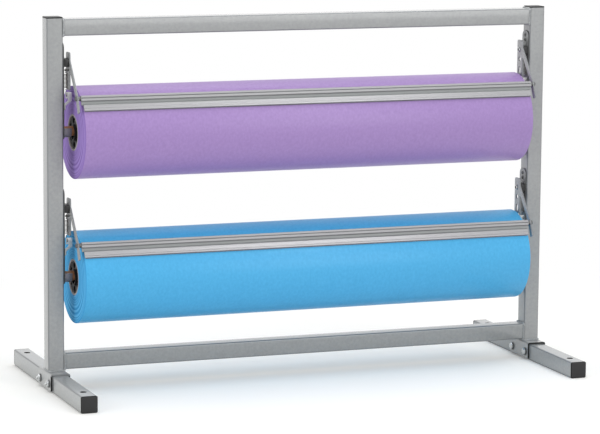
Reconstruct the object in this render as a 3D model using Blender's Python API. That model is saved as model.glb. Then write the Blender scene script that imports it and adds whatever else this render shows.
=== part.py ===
"""Free-standing two-deck rack that holds wide rolls of paper and tears them off on a sprung bar.

Frame: two square-tube uprights on feet, joined by a top and a bottom rail. Each deck has one roll
of paper on a core, two core plugs and a shaft that lies in two open seats, and one cutter: an
extruded bar with a blade, carried by two levers that turn on pivot bolts and are drawn onto the
paper by tension springs.

Axes: +X to the right, -Y to the front, +Z up. The origin is on the floor, under the middle.
"""
import math

import bmesh
import bpy
from mathutils import Matrix, Vector

MM = 0.001

# Clearances
TOUCH_GAP = 0.3 * MM
RUN_GAP = 0.4 * MM
OVERCUT = 2.0 * MM

# Frame tube, shared by uprights, rails and feet
TUBE = 31.75 * MM
TUBE_WALL = 1.6 * MM
TUBE_CORNER = 3.2 * MM

# Frame
CLEAR_WIDTH = 960.0 * MM
STEEL_HEIGHT = 706.0 * MM
TOP_RAIL_DROP = 1.5 * MM
BOTTOM_RAIL_UNDERSIDE = 38.0 * MM
FOOT_STEEL_LENGTH = 464.0 * MM

# Caps of the tubes
CAP_THICKNESS = 2.3 * MM
CAP_EDGE_ROUND = 0.8 * MM
CAP_PLUG_DEPTH = 13.0 * MM
CAP_PLUG_WALL = 2.2 * MM
FOOT_CAP_THICKNESS = 3.0 * MM

# Saddle over each foot, and its bolts
SADDLE_THICKNESS = 3.0 * MM
SADDLE_LENGTH = 84.0 * MM
SADDLE_FLOOR_GAP = 3.0 * MM
SADDLE_BEND = 4.0 * MM
SADDLE_BOLT_INSET = 12.0 * MM
SADDLE_BOLT_RADIUS = 3.0 * MM
SADDLE_HEAD_FLATS = 12.0 * MM
SADDLE_HEAD_HEIGHT = 5.0 * MM
SADDLE_NUT_HEIGHT = 5.0 * MM
SADDLE_BOLT_TIP = 3.0 * MM

# Holes near the ends of each foot, for fixing it down
FOOT_HOLE_INSET = 37.0 * MM
FOOT_TOP_HOLE_RADIUS = 6.3 * MM
FOOT_FLOOR_HOLE_RADIUS = 4.0 * MM

# Paper and core
PAPER_END_GAP = 22.8 * MM
PAPER_RADIUS_share = 0.124646
CORE_BORE_RADIUS = 31.75 * MM
CORE_WALL = 3.0 * MM
ROLL_HEIGHT_shares = {"upper": 0.692635, "lower": 0.300992}

# Shaft and its seats
SHAFT_RADIUS = 9.525 * MM
SHAFT_WALL = 2.0 * MM
SHAFT_END_GAP = 1.0 * MM
SEAT_LENGTH = 15.0 * MM
SEAT_THICKNESS = 2.0 * MM
SEAT_FRONT_RISE = 6.5 * MM
SEAT_LIP_ANGLE = math.radians(40.0)

# Core plug
PLUG_RECESS = 2.0 * MM
PLUG_WEB = 5.0 * MM
PLUG_DEPTH = 26.0 * MM
PLUG_RIM = 3.0 * MM
PLUG_BORE_RADIUS = 12.8 * MM
PLUG_HUB_RADIUS = 16.0 * MM
PLUG_HUB_PROUD = 3.0 * MM
PLUG_HOLE_RADIUS = 5.6 * MM
PLUG_HOLE_CIRCLE = 22.4 * MM
PLUG_HOLES = 6
PLUG_HOLE_START = math.radians(33.0)

# Side plate on the inner face of each upright
PLATE_THICKNESS = 2.0 * MM
PLATE_HALF_DEPTH = 14.0 * MM
PLATE_TOP_RISE = 38.0 * MM
PLATE_TOP_ROUND = 11.0 * MM
PLATE_FOOT_ROUND = 5.0 * MM
PLATE_BELOW_SHAFT = 13.5 * MM
SCREW_HEAD_RADIUS = 3.4 * MM
SCREW_HEAD_HEIGHT = 2.0 * MM
TOP_SCREW_RISE = 29.0 * MM
SECOND_SCREW_RISE = 20.0 * MM

# Pivot: block, bolt and how far it stands over the roll's axis
PIVOT_RISE_share = 0.188385
BLOCK_LENGTH = 9.4 * MM
BLOCK_HALF_DEPTH = 14.0 * MM
BLOCK_HALF_HEIGHT = 7.6 * MM
BLOCK_ROUND = 2.0 * MM
PIVOT_BOLT_RADIUS = 3.0 * MM
PIVOT_HEAD_RADIUS = 5.0 * MM
PIVOT_HEAD_HEIGHT = 2.2 * MM
PIVOT_SOCKET_RADIUS = 2.8 * MM
PIVOT_SOCKET_DEPTH = 1.4 * MM
PIVOT_NUT_RADIUS = 5.8 * MM
PIVOT_NUT_HEIGHT = 5.0 * MM

# Lever: a leg that hangs from the pivot, an arm to the bar and a lug at the bar's end
LEVER_THICKNESS = 2.5 * MM
LEG_REAR = 9.5 * MM
LEG_FRONT = 14.0 * MM
LEG_TOP = 19.5 * MM
LEG_BOTTOM = 52.0 * MM
LEG_TOP_ROUND = 5.0 * MM
LEG_REAR_ROUND = 7.0 * MM
LEG_FRONT_ROUND = 4.0 * MM
LEG_HOLE_RADIUS = 4.4 * MM
LEG_HOLE_FORWARD = 1.5 * MM
LEG_HOLE_DROP = 18.5 * MM
LEG_SLOT_TOP = 33.5 * MM
LEG_SLOT_BOTTOM = 48.0 * MM
LEG_SLOT_RADIUS = 3.8 * MM
ARM_WIDTH = 10.0 * MM
ARM_ROOT_DROP = 3.0 * MM
LUG_REAR = 11.0 * MM
LUG_BOTTOM = 3.0 * MM
CORNER_ROUND = 2.5 * MM

# Cutter bar section: t runs up its face from the lower edge, n runs out of its face
BAR_END_GAP = 19.5 * MM
BAR_TILT = math.radians(24.0)
BLADE_CONTACT_ANGLE = math.radians(32.0)
BAR_HEIGHT = 30.0 * MM
BAR_SKIN = 1.6 * MM
BAR_LIP_TOP = 3.2 * MM
BAR_LIP_PROUD = 0.9 * MM
BAR_SHOULDER = 11.2 * MM
BAR_PLATE_HEIGHT = 13.6 * MM
BAR_RECESS_TOP = 19.2 * MM
BAR_RECESS_DEPTH = 2.2 * MM
BAR_RIDGE_TOP = 24.2 * MM
BAR_RIDGE_PROUD = 1.2 * MM
BAR_GROOVE_TOP = 25.7 * MM
BAR_GROOVE_DEPTH = 0.8 * MM
BAR_HEAD_DEPTH = 8.0 * MM
BAR_HEAD_BOTTOM = 21.0 * MM
BAR_EDGE_BEVEL = 0.8 * MM
BAR_NOTCH_LENGTH = 3.5 * MM
BLADE_THICKNESS = 0.8 * MM
BLADE_HEIGHT = 9.0 * MM
BLADE_PROUD = 1.2 * MM
BLADE_END_INSET = 5.0 * MM
BLADE_TIP_BEVEL = 0.5 * MM
BAR_BOLT_UP = 25.4 * MM
BAR_BOLT_IN = 4.3 * MM
BAR_BOLT_RADIUS = 2.4 * MM
BAR_BOLT_DEPTH = 12.0 * MM
BAR_BOLT_HEAD_FLATS = 8.0 * MM
BAR_BOLT_HEAD_HEIGHT = 3.2 * MM
BAR_SPACER_RADIUS = 4.0 * MM

# Tension spring, its pin on the lever and its anchor on the side plate
SPRING_WIRE_RADIUS = 0.55 * MM
SPRING_COIL_RADIUS = 3.0 * MM
SPRING_INSET = 6.5 * MM
SPRING_FORWARD = 11.0 * MM
SPRING_TURNS = 11
SPRING_POINTS_PER_TURN = 8
SPRING_TOP_DROP = 20.5 * MM
SPRING_BOTTOM_DROP = 47.5 * MM
SPRING_LEAD = 3.2 * MM
SPRING_PIN_RADIUS = 1.7 * MM
SPRING_PIN_DROP = 13.5 * MM
SPRING_PIN_TIP = 2.6 * MM
UPPER_LOOP_RADIUS = 2.95 * MM
LOWER_LOOP_RADIUS = 3.4 * MM
LOWER_LOOP_DROP = 58.7 * MM
ANCHOR_THICKNESS = 2.0 * MM
ANCHOR_FRONT = 15.4 * MM
ANCHOR_TAB_TOP = 54.5 * MM
ANCHOR_TAB_BOTTOM = 71.5 * MM
ANCHOR_TAB_OUTER = 4.2 * MM
ANCHOR_TAB_INNER = 16.5 * MM
ANCHOR_EAR_BOTTOM = 66.5 * MM
ANCHOR_NECK = 9.0 * MM
ANCHOR_STRAP = 6.2 * MM
ANCHOR_STRAP_DROP = 10.4 * MM
ANCHOR_FOOT_DEPTH = 17.0 * MM
ANCHOR_FOOT_HEIGHT = 13.0 * MM
HOOK_SLOT_TOP = 60.4 * MM
HOOK_SLOT_BOTTOM = 64.2 * MM
HOOK_SLOT_RADIUS = 1.2 * MM

# Facets of round shapes
PAPER_FACETS = 64
CORE_FACETS = 32
PLUG_FACETS = 28
SHAFT_FACETS = 24
BOLT_FACETS = 10
HOLE_FACETS = 12
CORNER_FACETS = 2

# Derived places
HALF_CLEAR = CLEAR_WIDTH / 2
HALF_TUBE = TUBE / 2
UPRIGHT_CENTRE = HALF_CLEAR + HALF_TUBE
SADDLE_TOP = TUBE + TOUCH_GAP + SADDLE_THICKNESS
SADDLE_BOLT_REACH = SADDLE_LENGTH / 2 - SADDLE_BOLT_INSET
FOOT_MIDDLE_HEIGHT = HALF_TUBE
PLATE_INNER = TOUCH_GAP + PLATE_THICKNESS
BLOCK_OUTER = PLATE_INNER + TOUCH_GAP
LEVER_OUTER = BLOCK_OUTER + BLOCK_LENGTH + TOUCH_GAP
LEVER_INNER = LEVER_OUTER + LEVER_THICKNESS
CORE_RADIUS = CORE_BORE_RADIUS + CORE_WALL
PAPER_LENGTH = CLEAR_WIDTH - 2 * PAPER_END_GAP
PAPER_RADIUS = PAPER_RADIUS_share * STEEL_HEIGHT
PIVOT_RISE = PIVOT_RISE_share * STEEL_HEIGHT
ROLL_HEIGHTS = {deck: share * STEEL_HEIGHT for deck, share in ROLL_HEIGHT_shares.items()}
ROLL_SAG = PLUG_BORE_RADIUS - SHAFT_RADIUS - TOUCH_GAP
ANCHOR_FOOT_TOP = ANCHOR_TAB_BOTTOM + ANCHOR_STRAP_DROP - ANCHOR_STRAP
ANCHOR_FOOT_BOTTOM = ANCHOR_FOOT_TOP + ANCHOR_FOOT_HEIGHT
LOW_SCREW_RISE = (PIVOT_RISE - ANCHOR_FOOT_BOTTOM + ROLL_SAG + SHAFT_RADIUS) / 2

FINISHES = {
    "silver enamel": ("A9ABAD", 0.42, 0.55),
    "zinc": ("C2C4C6", 0.32, 0.9),
    "black plastic": ("26272A", 0.5, 0.0),
    "dark steel": ("5F5E62", 0.45, 0.7),
    "aluminium": ("C4C6C4", 0.34, 0.9),
    "blade steel": ("D3D4D2", 0.25, 1.0),
    "spring steel": ("5A5550", 0.4, 0.9),
    "bronzed steel": ("7A5F4C", 0.45, 0.6),
    "kraft card": ("B08F6A", 0.85, 0.0),
    "lilac paper": ("A88BC4", 0.8, 0.0),
    "sky paper": ("5FB4E8", 0.8, 0.0),
}


def clear_scene():
    """Removes whatever the file holds."""
    for item in list(bpy.data.objects):
        bpy.data.objects.remove(item, do_unlink=True)


def linear(channel):
    """One sRGB channel from 0 to 1 as linear light."""
    if channel <= 0.04045:
        return channel / 12.92
    return ((channel + 0.055) / 1.055) ** 2.4


def finish(name, finish_name):
    """A Principled material of its own for one piece."""
    code, roughness, metallic = FINISHES[finish_name]
    made = bpy.data.materials.new(name)
    made.use_nodes = True
    shader = made.node_tree.nodes["Principled BSDF"]
    colour = [linear(int(code[i:i + 2], 16) / 255) for i in (0, 2, 4)]
    shader.inputs["Base Color"].default_value = (*colour, 1.0)
    shader.inputs["Roughness"].default_value = roughness
    shader.inputs["Metallic"].default_value = metallic
    return made


def add_object(name, bm, finish_name):
    """Turns a bmesh into a named object of one material, shaded smooth between its sharp edges."""
    bmesh.ops.recalc_face_normals(bm, faces=bm.faces)
    if bm.calc_volume(signed=True) < 0:
        bmesh.ops.reverse_faces(bm, faces=bm.faces)
    mesh = bpy.data.meshes.new(name)
    bm.to_mesh(mesh)
    bm.free()
    mesh.shade_smooth()
    mesh.set_sharp_from_angle(angle=math.radians(35.0))
    made = bpy.data.objects.new(name, mesh)
    bpy.context.scene.collection.objects.link(made)
    if finish_name:
        mesh.materials.append(finish(name, finish_name))
    return made


def add_modifier(target, tool, operation):
    """A Boolean modifier whose tool is hidden and drawn as wire."""
    tool.hide_render = True
    tool.display_type = "WIRE"
    modifier = target.modifiers.new(operation.lower(), "BOOLEAN")
    modifier.operation = operation
    modifier.solver = "EXACT"
    modifier.object = tool


def cut(target, tool_bm):
    """Takes a shape away from a piece."""
    add_modifier(target, add_object("cut_" + target.name, tool_bm, None), "DIFFERENCE")


def fuse(target, tool_bm):
    """Joins a shape to a piece."""
    add_modifier(target, add_object("add_" + target.name, tool_bm, None), "UNION")


def set_origin(piece, place):
    """Moves a piece's origin without moving its surface."""
    piece.data.transform(Matrix.Translation(-Vector(place)))
    piece.location = place


def arc(centre, radius, start, end, facets):
    """Points on an arc, both ends included; angles in radians."""
    return [(centre[0] + radius * math.cos(start + (end - start) * i / facets),
             centre[1] + radius * math.sin(start + (end - start) * i / facets))
            for i in range(facets + 1)]


def circle(centre, radius, facets):
    """Points once round a circle."""
    return arc(centre, radius, 0.0, 2 * math.pi, facets)[:-1]


def round_corners(corners, facets=CORNER_FACETS):
    """An outline from corners (u, v, radius), each rounded where its radius isn't zero."""
    points = []
    count = len(corners)
    for i, (u, v, radius) in enumerate(corners):
        here = Vector((u, v))
        if radius == 0:
            points.append((u, v))
            continue
        back = (Vector(corners[i - 1][:2]) - here).normalized()
        ahead = (Vector(corners[(i + 1) % count][:2]) - here).normalized()
        half = back.angle(ahead) / 2
        middle = here + (back + ahead).normalized() * radius / math.sin(half)
        first = here + back * radius / math.tan(half) - middle
        last = here + ahead * radius / math.tan(half) - middle
        turn = first.angle_signed(last)
        for k in range(facets + 1):
            spoke = first.copy()
            spoke.rotate(Matrix.Rotation(-turn * k / facets, 2))
            points.append(tuple(middle + spoke))
    return points


def rounded_box_outline(half_u, half_v, radius, facets=CORNER_FACETS):
    """A rectangle about zero with rounded corners."""
    return round_corners([(half_u, half_v, radius), (-half_u, half_v, radius),
                          (-half_u, -half_v, radius), (half_u, -half_v, radius)], facets)


def slot_outline(centre_u, low, high, radius, facets=HOLE_FACETS // 2):
    """An upright slot with round ends; low and high are its ends."""
    return (arc((centre_u, high - radius), radius, 0.0, math.pi, facets)
            + arc((centre_u, low + radius), radius, math.pi, 2 * math.pi, facets))


def hexagon(centre, across_flats):
    """The six corners of a hexagon, from its width over the flats."""
    return circle(centre, across_flats / math.sqrt(3), 6)


def prism(outline, holes, start, end, place):
    """A closed solid: an outline with holes, filled and drawn out from start to end.

    place(u, v, w) gives the point of the model for a point (u, v) of the outline at depth w.
    """
    bm = bmesh.new()
    edges = []
    for loop in [outline, *holes]:
        ring = [bm.verts.new((u, v, start)) for u, v in loop]
        edges += [bm.edges.new((ring[i - 1], ring[i])) for i in range(len(ring))]
    bmesh.ops.triangle_fill(bm, edges=edges, use_beauty=True, use_dissolve=False)
    if not holes:
        bmesh.ops.dissolve_limit(bm, angle_limit=math.radians(1.0), verts=bm.verts, edges=bm.edges)
    sides = bmesh.ops.extrude_face_region(bm, geom=list(bm.faces), use_keep_orig=True)
    for item in sides["geom"]:
        if isinstance(item, bmesh.types.BMVert):
            item.co.z = end
    for vert in bm.verts:
        vert.co = place(*vert.co)
    return bm


def along_x(u, v, w):
    """Outline in the side view: u to the front, v up, w along X."""
    return (w, -u, v)


def along_y(u, v, w):
    """Outline in the front view: u to the right, v up, w to the front."""
    return (u, -w, v)


def along_z(u, v, w):
    """Outline in the plan: u to the right, v to the front, w up."""
    return (u, -v, w)


def moved(place, shift_u, shift_v):
    """The same placing with the outline shifted first."""
    return lambda u, v, w: place(u + shift_u, v + shift_v, w)


def turned(profile, facets, height):
    """A solid turned about the line along X at the given height, from a closed profile of (x, r)."""
    bm = bmesh.new()
    rings = []
    for k in range(facets):
        angle = 2 * math.pi * k / facets
        rings.append([bm.verts.new((x, r * math.cos(angle), height + r * math.sin(angle)))
                      for x, r in profile])
    for k in range(facets):
        here, there = rings[k - 1], rings[k]
        for i in range(len(profile)):
            bm.faces.new((here[i - 1], here[i], there[i], there[i - 1]))
    return bm


def rod(radius, start, end, forward, height, facets=BOLT_FACETS):
    """A plain round rod along X."""
    return prism(circle((forward, height), radius, facets), [], start, end, along_x)


def join_meshes(first, second):
    """Puts two bmeshes, whose solids stay apart, in one."""
    mesh = bpy.data.meshes.new("joined")
    second.to_mesh(mesh)
    second.free()
    first.from_mesh(mesh)
    bpy.data.meshes.remove(mesh)
    return first


def inset(side, distance):
    """X at a distance inwards from an upright's inner face; side is -1 at the left, 1 at the right."""
    return side * (HALF_CLEAR - distance)


def tube_profile(half, wall, corner):
    """Outer and inner outlines of a square tube."""
    return (rounded_box_outline(half, half, corner),
            rounded_box_outline(half - wall, half - wall, corner - wall))


# Frame


def square_tube(name, start, end, place):
    """A length of frame tube with open ends."""
    outer, inner = tube_profile(HALF_TUBE, TUBE_WALL, TUBE_CORNER)
    return add_object(name, prism(outer, [inner], start, end, place), "silver enamel")


def tube_cap(name, start, away, thickness, place):
    """A moulded cap: a plate as wide as the tube, and a hollow plug that goes into it.

    start is the tube's end and away is 1 or -1, the way out of the tube.
    """
    base = start + away * TOUCH_GAP
    outline = rounded_box_outline(HALF_TUBE, HALF_TUBE, TUBE_CORNER)
    top = base + away * thickness
    cap = add_object(name, prism(outline, [], base, top, place), "black plastic")
    rim = cap.modifiers.new("rounded rim", "BEVEL")
    rim.width = CAP_EDGE_ROUND
    rim.segments = 1
    rim.limit_method = "ANGLE"
    plug_half = HALF_TUBE - TUBE_WALL - TOUCH_GAP
    outer, inner = tube_profile(plug_half, CAP_PLUG_WALL, TUBE_CORNER)
    tip = start - away * CAP_PLUG_DEPTH
    root = base + away * thickness / 2
    fuse(cap, prism(outer, [inner], tip, root, place))
    return cap


def upright(side, name):
    """One upright, drilled through its inner wall for the two pivot bolts."""
    centre = side * UPRIGHT_CENTRE
    tube = square_tube(name + "_upright", SADDLE_TOP + TOUCH_GAP, STEEL_HEIGHT,
                       moved(along_z, centre, 0.0))
    for roll_height in ROLL_HEIGHTS.values():
        cut(tube, rod(PIVOT_BOLT_RADIUS + RUN_GAP, inset(side, OVERCUT),
                      inset(side, -TUBE_WALL - OVERCUT), 0.0, roll_height + PIVOT_RISE))
    tube_cap(name + "_upright_cap", STEEL_HEIGHT, 1, CAP_THICKNESS, moved(along_z, centre, 0.0))


def rail(name, underside):
    """A rail between the uprights."""
    def place(u, v, w):
        return (w, u, v + underside + HALF_TUBE)
    reach = HALF_CLEAR - TOUCH_GAP
    square_tube(name, -reach, reach, place)


def foot(side, name):
    """One foot, with its end caps, its holes and the saddle that the upright stands on."""
    centre = side * UPRIGHT_CENTRE
    half = FOOT_STEEL_LENGTH / 2
    place = moved(along_y, centre, HALF_TUBE)
    tube = square_tube(name + "_foot", -half, half, place)
    for forward in (half - FOOT_HOLE_INSET, FOOT_HOLE_INSET - half):
        cut(tube, prism(circle((centre, forward), FOOT_TOP_HOLE_RADIUS, HOLE_FACETS), [],
                        HALF_TUBE, TUBE + OVERCUT, along_z))
        cut(tube, prism(circle((centre, forward), FOOT_FLOOR_HOLE_RADIUS, HOLE_FACETS), [],
                        -OVERCUT, HALF_TUBE, along_z))
    tube_cap(name + "_front_foot_cap", half, 1, FOOT_CAP_THICKNESS, place)
    tube_cap(name + "_rear_foot_cap", -half, -1, FOOT_CAP_THICKNESS, place)
    saddle(side, name, tube)


def saddle(side, name, tube):
    """The bent channel over the foot, and the two bolts through both."""
    centre = side * UPRIGHT_CENTRE
    inner = HALF_TUBE + TOUCH_GAP
    outer = inner + SADDLE_THICKNESS
    roof = TUBE + TOUCH_GAP
    inner_bend = SADDLE_BEND - SADDLE_THICKNESS
    outline = round_corners([
        (-outer, SADDLE_FLOOR_GAP, 0), (-outer, roof + SADDLE_THICKNESS, SADDLE_BEND),
        (outer, roof + SADDLE_THICKNESS, SADDLE_BEND), (outer, SADDLE_FLOOR_GAP, 0),
        (inner, SADDLE_FLOOR_GAP, 0), (inner, roof, inner_bend),
        (-inner, roof, inner_bend), (-inner, SADDLE_FLOOR_GAP, 0)])
    half = SADDLE_LENGTH / 2
    channel = add_object(name + "_saddle", prism(outline, [], -half, half, moved(along_y, centre, 0.0)),
                         "silver enamel")
    for end, forward in (("front", SADDLE_BOLT_REACH), ("rear", -SADDLE_BOLT_REACH)):
        for piece in (channel, tube):
            cut(piece, rod(SADDLE_BOLT_RADIUS + RUN_GAP, centre - outer - OVERCUT,
                           centre + outer + OVERCUT, forward, FOOT_MIDDLE_HEIGHT, HOLE_FACETS))
        face = side * (outer + TOUCH_GAP)
        head_tip = centre - face - side * SADDLE_HEAD_HEIGHT
        head_middle = centre - face - side * SADDLE_HEAD_HEIGHT / 2
        nut_tip = centre + face + side * SADDLE_NUT_HEIGHT
        outline_hex = hexagon((forward, FOOT_MIDDLE_HEIGHT), SADDLE_HEAD_FLATS)
        bolt = add_object(f"{name}_{end}_saddle_bolt",
                          prism(outline_hex, [], head_tip, centre - face, along_x), "zinc")
        fuse(bolt, rod(SADDLE_BOLT_RADIUS, head_middle, nut_tip + side * SADDLE_BOLT_TIP, forward,
                       FOOT_MIDDLE_HEIGHT))
        fuse(bolt, prism(outline_hex, [], centre + face, nut_tip, along_x))


# Fixed pieces of one side of a deck


def side_plate(side, name, roll_height):
    """The plate on the upright's inner face, with the heads of its three screws."""
    pivot = roll_height + PIVOT_RISE
    top = pivot + PLATE_TOP_RISE
    bottom = roll_height + ROLL_SAG - PLATE_BELOW_SHAFT
    outline = round_corners([
        (PLATE_HALF_DEPTH, top, PLATE_TOP_ROUND), (-PLATE_HALF_DEPTH, top, PLATE_TOP_ROUND),
        (-PLATE_HALF_DEPTH, bottom, PLATE_FOOT_ROUND), (PLATE_HALF_DEPTH, bottom, PLATE_FOOT_ROUND)])
    hole = circle((0.0, pivot), PIVOT_BOLT_RADIUS + RUN_GAP, BOLT_FACETS)
    plate = add_object(name + "_side_plate",
                       prism(outline, [hole], inset(side, TOUCH_GAP), inset(side, PLATE_INNER), along_x),
                       "silver enamel")
    for height in (pivot + TOP_SCREW_RISE, pivot + SECOND_SCREW_RISE, roll_height + LOW_SCREW_RISE):
        fuse(plate, screw_head(side, PLATE_INNER, 0.0, height))


def screw_head(side, base, forward, height):
    """A low round head that stands on a face at the given distance from the upright."""
    sunk = base - PLATE_THICKNESS / 2
    return rod(SCREW_HEAD_RADIUS, inset(side, sunk), inset(side, base + SCREW_HEAD_HEIGHT),
               forward, height)


def shaft_seat(side, name, shaft_height):
    """The bent seat the shaft lies in: a front wall, a round bottom and a low lip behind."""
    inner = SHAFT_RADIUS + TOUCH_GAP
    outer = inner + SEAT_THICKNESS
    lip = -math.pi + SEAT_LIP_ANGLE
    facets = HOLE_FACETS // 2
    centre = (0.0, shaft_height)
    outline = ([(outer, shaft_height + SEAT_FRONT_RISE)]
               + arc(centre, outer, 0.0, lip, facets)
               + arc(centre, inner, lip, 0.0, facets)
               + [(inner, shaft_height + SEAT_FRONT_RISE)])
    start = PLATE_INNER + TOUCH_GAP
    add_object(name + "_shaft_seat",
               prism(outline, [], inset(side, start), inset(side, start + SEAT_LENGTH), along_x),
               "dark steel")


def spring_anchor(side, name, pivot):
    """The bent strap that holds the spring's lower hook: a tab, a slanting strap and a foot."""
    start = PLATE_INNER + TOUCH_GAP
    low = ANCHOR_TAB_BOTTOM + ANCHOR_STRAP_DROP
    fall = ANCHOR_STRAP_DROP / (ANCHOR_TAB_INNER - start)

    def place(u, v, w):
        return (inset(side, u), -w, pivot + v)

    outline = round_corners([
        (ANCHOR_TAB_OUTER, -ANCHOR_TAB_TOP, CORNER_ROUND / 2),
        (ANCHOR_TAB_INNER, -ANCHOR_TAB_TOP, CORNER_ROUND),
        (ANCHOR_TAB_INNER, -ANCHOR_TAB_BOTTOM, CORNER_ROUND),
        (start, -low, 0),
        (start, -low + ANCHOR_STRAP, 0),
        (ANCHOR_NECK, -low + ANCHOR_STRAP + fall * (ANCHOR_NECK - start), 0),
        (ANCHOR_NECK, -ANCHOR_EAR_BOTTOM, 0),
        (ANCHOR_TAB_OUTER, -ANCHOR_EAR_BOTTOM, 0)])
    slot = slot_outline(SPRING_INSET, -HOOK_SLOT_BOTTOM, -HOOK_SLOT_TOP, HOOK_SLOT_RADIUS)
    rear = ANCHOR_FRONT - ANCHOR_THICKNESS
    anchor = add_object(name + "_spring_anchor",
                        prism(outline, [slot], rear, ANCHOR_FRONT, place), "silver enamel")
    foot_top = pivot - ANCHOR_FOOT_TOP
    foot_outline = round_corners([
        (ANCHOR_FRONT, foot_top, 0),
        (ANCHOR_FRONT - ANCHOR_FOOT_DEPTH, foot_top, CORNER_ROUND),
        (ANCHOR_FRONT - ANCHOR_FOOT_DEPTH, foot_top - ANCHOR_FOOT_HEIGHT, CORNER_ROUND),
        (ANCHOR_FRONT, foot_top - ANCHOR_FOOT_HEIGHT, CORNER_ROUND)])
    fuse(anchor, prism(foot_outline, [], inset(side, start), inset(side, start + ANCHOR_THICKNESS),
                       along_x))
    fuse(anchor, screw_head(side, start + ANCHOR_THICKNESS,
                            ANCHOR_FRONT - ANCHOR_FOOT_DEPTH / 2 - ANCHOR_THICKNESS / 2,
                            foot_top - ANCHOR_FOOT_HEIGHT / 2))


def pivot_bolt(side, name, pivot):
    """The bolt that the lever turns on, with its socket head and the nut inside the upright."""
    head_base = LEVER_INNER + TOUCH_GAP
    head_tip = head_base + PIVOT_HEAD_HEIGHT
    nut_base = -TUBE_WALL - TOUCH_GAP
    bolt = add_object(name + "_pivot_bolt",
                      rod(PIVOT_HEAD_RADIUS, inset(side, head_base), inset(side, head_tip), 0.0, pivot,
                          HOLE_FACETS), "zinc")
    cut(bolt, prism(circle((0.0, pivot), PIVOT_SOCKET_RADIUS, 6), [],
                    inset(side, head_tip - PIVOT_SOCKET_DEPTH), inset(side, head_tip + OVERCUT), along_x))
    fuse(bolt, rod(PIVOT_BOLT_RADIUS, inset(side, head_tip - PIVOT_SOCKET_DEPTH - TOUCH_GAP),
                   inset(side, nut_base - PIVOT_NUT_HEIGHT), 0.0, pivot))
    fuse(bolt, prism(circle((0.0, pivot), PIVOT_NUT_RADIUS, 6), [], inset(side, nut_base),
                     inset(side, nut_base - PIVOT_NUT_HEIGHT), along_x))


def spring_route(side, pivot):
    """Points along the spring's wire, from its upper hook to its lower one.

    The upper hook is a loop round the lever's pin. A half turn opens out to the coil's radius, the
    turns follow at one pitch, a half turn closes in again, and a straight end leads to the lower
    loop through the anchor's slot.
    """
    def point(across, forward, up):
        return Vector((inset(side, SPRING_INSET) + across, -forward, pivot + up))

    route = []
    for k in range(11):
        angle = math.radians(-20.0 + 29.0 * k)
        route.append(point(0.0, SPRING_FORWARD + UPPER_LOOP_RADIUS * math.cos(angle),
                           -SPRING_PIN_DROP + UPPER_LOOP_RADIUS * math.sin(angle)))
    steps = SPRING_TURNS * SPRING_POINTS_PER_TURN
    half_turn = SPRING_POINTS_PER_TURN // 2
    for k in range(-half_turn, steps + half_turn + 1):
        angle = 2 * math.pi * k / SPRING_POINTS_PER_TURN
        within = min(max(k / steps, 0.0), 1.0)
        beyond = max(-k, k - steps, 0) / half_turn
        radius = SPRING_COIL_RADIUS * math.cos(beyond * math.pi / 2)
        drop = SPRING_TOP_DROP + (SPRING_BOTTOM_DROP - SPRING_TOP_DROP) * within
        drop += math.copysign(SPRING_LEAD * beyond, k)
        route.append(point(radius * math.cos(angle), SPRING_FORWARD + radius * math.sin(angle), -drop))
    for k in range(9):
        angle = math.radians(180.0 + 28.0 * k)
        route.append(point(0.0, SPRING_FORWARD + LOWER_LOOP_RADIUS * (1 + math.cos(angle)),
                           -LOWER_LOOP_DROP + LOWER_LOOP_RADIUS * math.sin(angle)))
    return route


def least_gap(route, radius):
    """The least gap between stretches of a tube that aren't neighbours along it."""
    apart = SPRING_POINTS_PER_TURN // 2
    return min((a - b).length for i, a in enumerate(route) for b in route[i + apart:]) - 2 * radius


def tension_spring(side, name, pivot):
    """The spring as one tube along its route."""
    route = spring_route(side, pivot)
    print(f"{name}_spring least gap to itself {least_gap(route, SPRING_WIRE_RADIUS) / MM:.2f} mm")
    curve = bpy.data.curves.new(name + "_spring", "CURVE")
    curve.dimensions = "3D"
    curve.bevel_depth = SPRING_WIRE_RADIUS
    curve.bevel_resolution = 1
    curve.use_fill_caps = True
    spline = curve.splines.new("POLY")
    spline.points.add(len(route) - 1)
    for target, place in zip(spline.points, route):
        target.co = (*place, 1.0)
    curve.materials.append(finish(name + "_spring", "spring steel"))
    made = bpy.data.objects.new(name + "_spring", curve)
    bpy.context.scene.collection.objects.link(made)


# Cutter


def bar_point(n, t):
    """Forward and height over the roll's axis, for a point of the bar's section."""
    out = (math.cos(BAR_TILT), math.sin(BAR_TILT))
    up = (-math.sin(BAR_TILT), math.cos(BAR_TILT))
    reach = PAPER_RADIUS + TOUCH_GAP
    edge_n = -BAR_SKIN - TOUCH_GAP - BLADE_THICKNESS
    base = (reach * math.cos(BLADE_CONTACT_ANGLE) - edge_n * out[0] + BLADE_PROUD * up[0],
            reach * math.sin(BLADE_CONTACT_ANGLE) - edge_n * out[1] + BLADE_PROUD * up[1])
    return (base[0] + n * out[0] + t * up[0], base[1] + n * out[1] + t * up[1])


def bar_outline(corners, roll_height):
    """Corners (n, t) of the bar's section as an outline in the side view."""
    made = []
    for n, t in corners:
        forward, up = bar_point(n, t)
        made.append((forward, roll_height + up))
    return made


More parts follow.
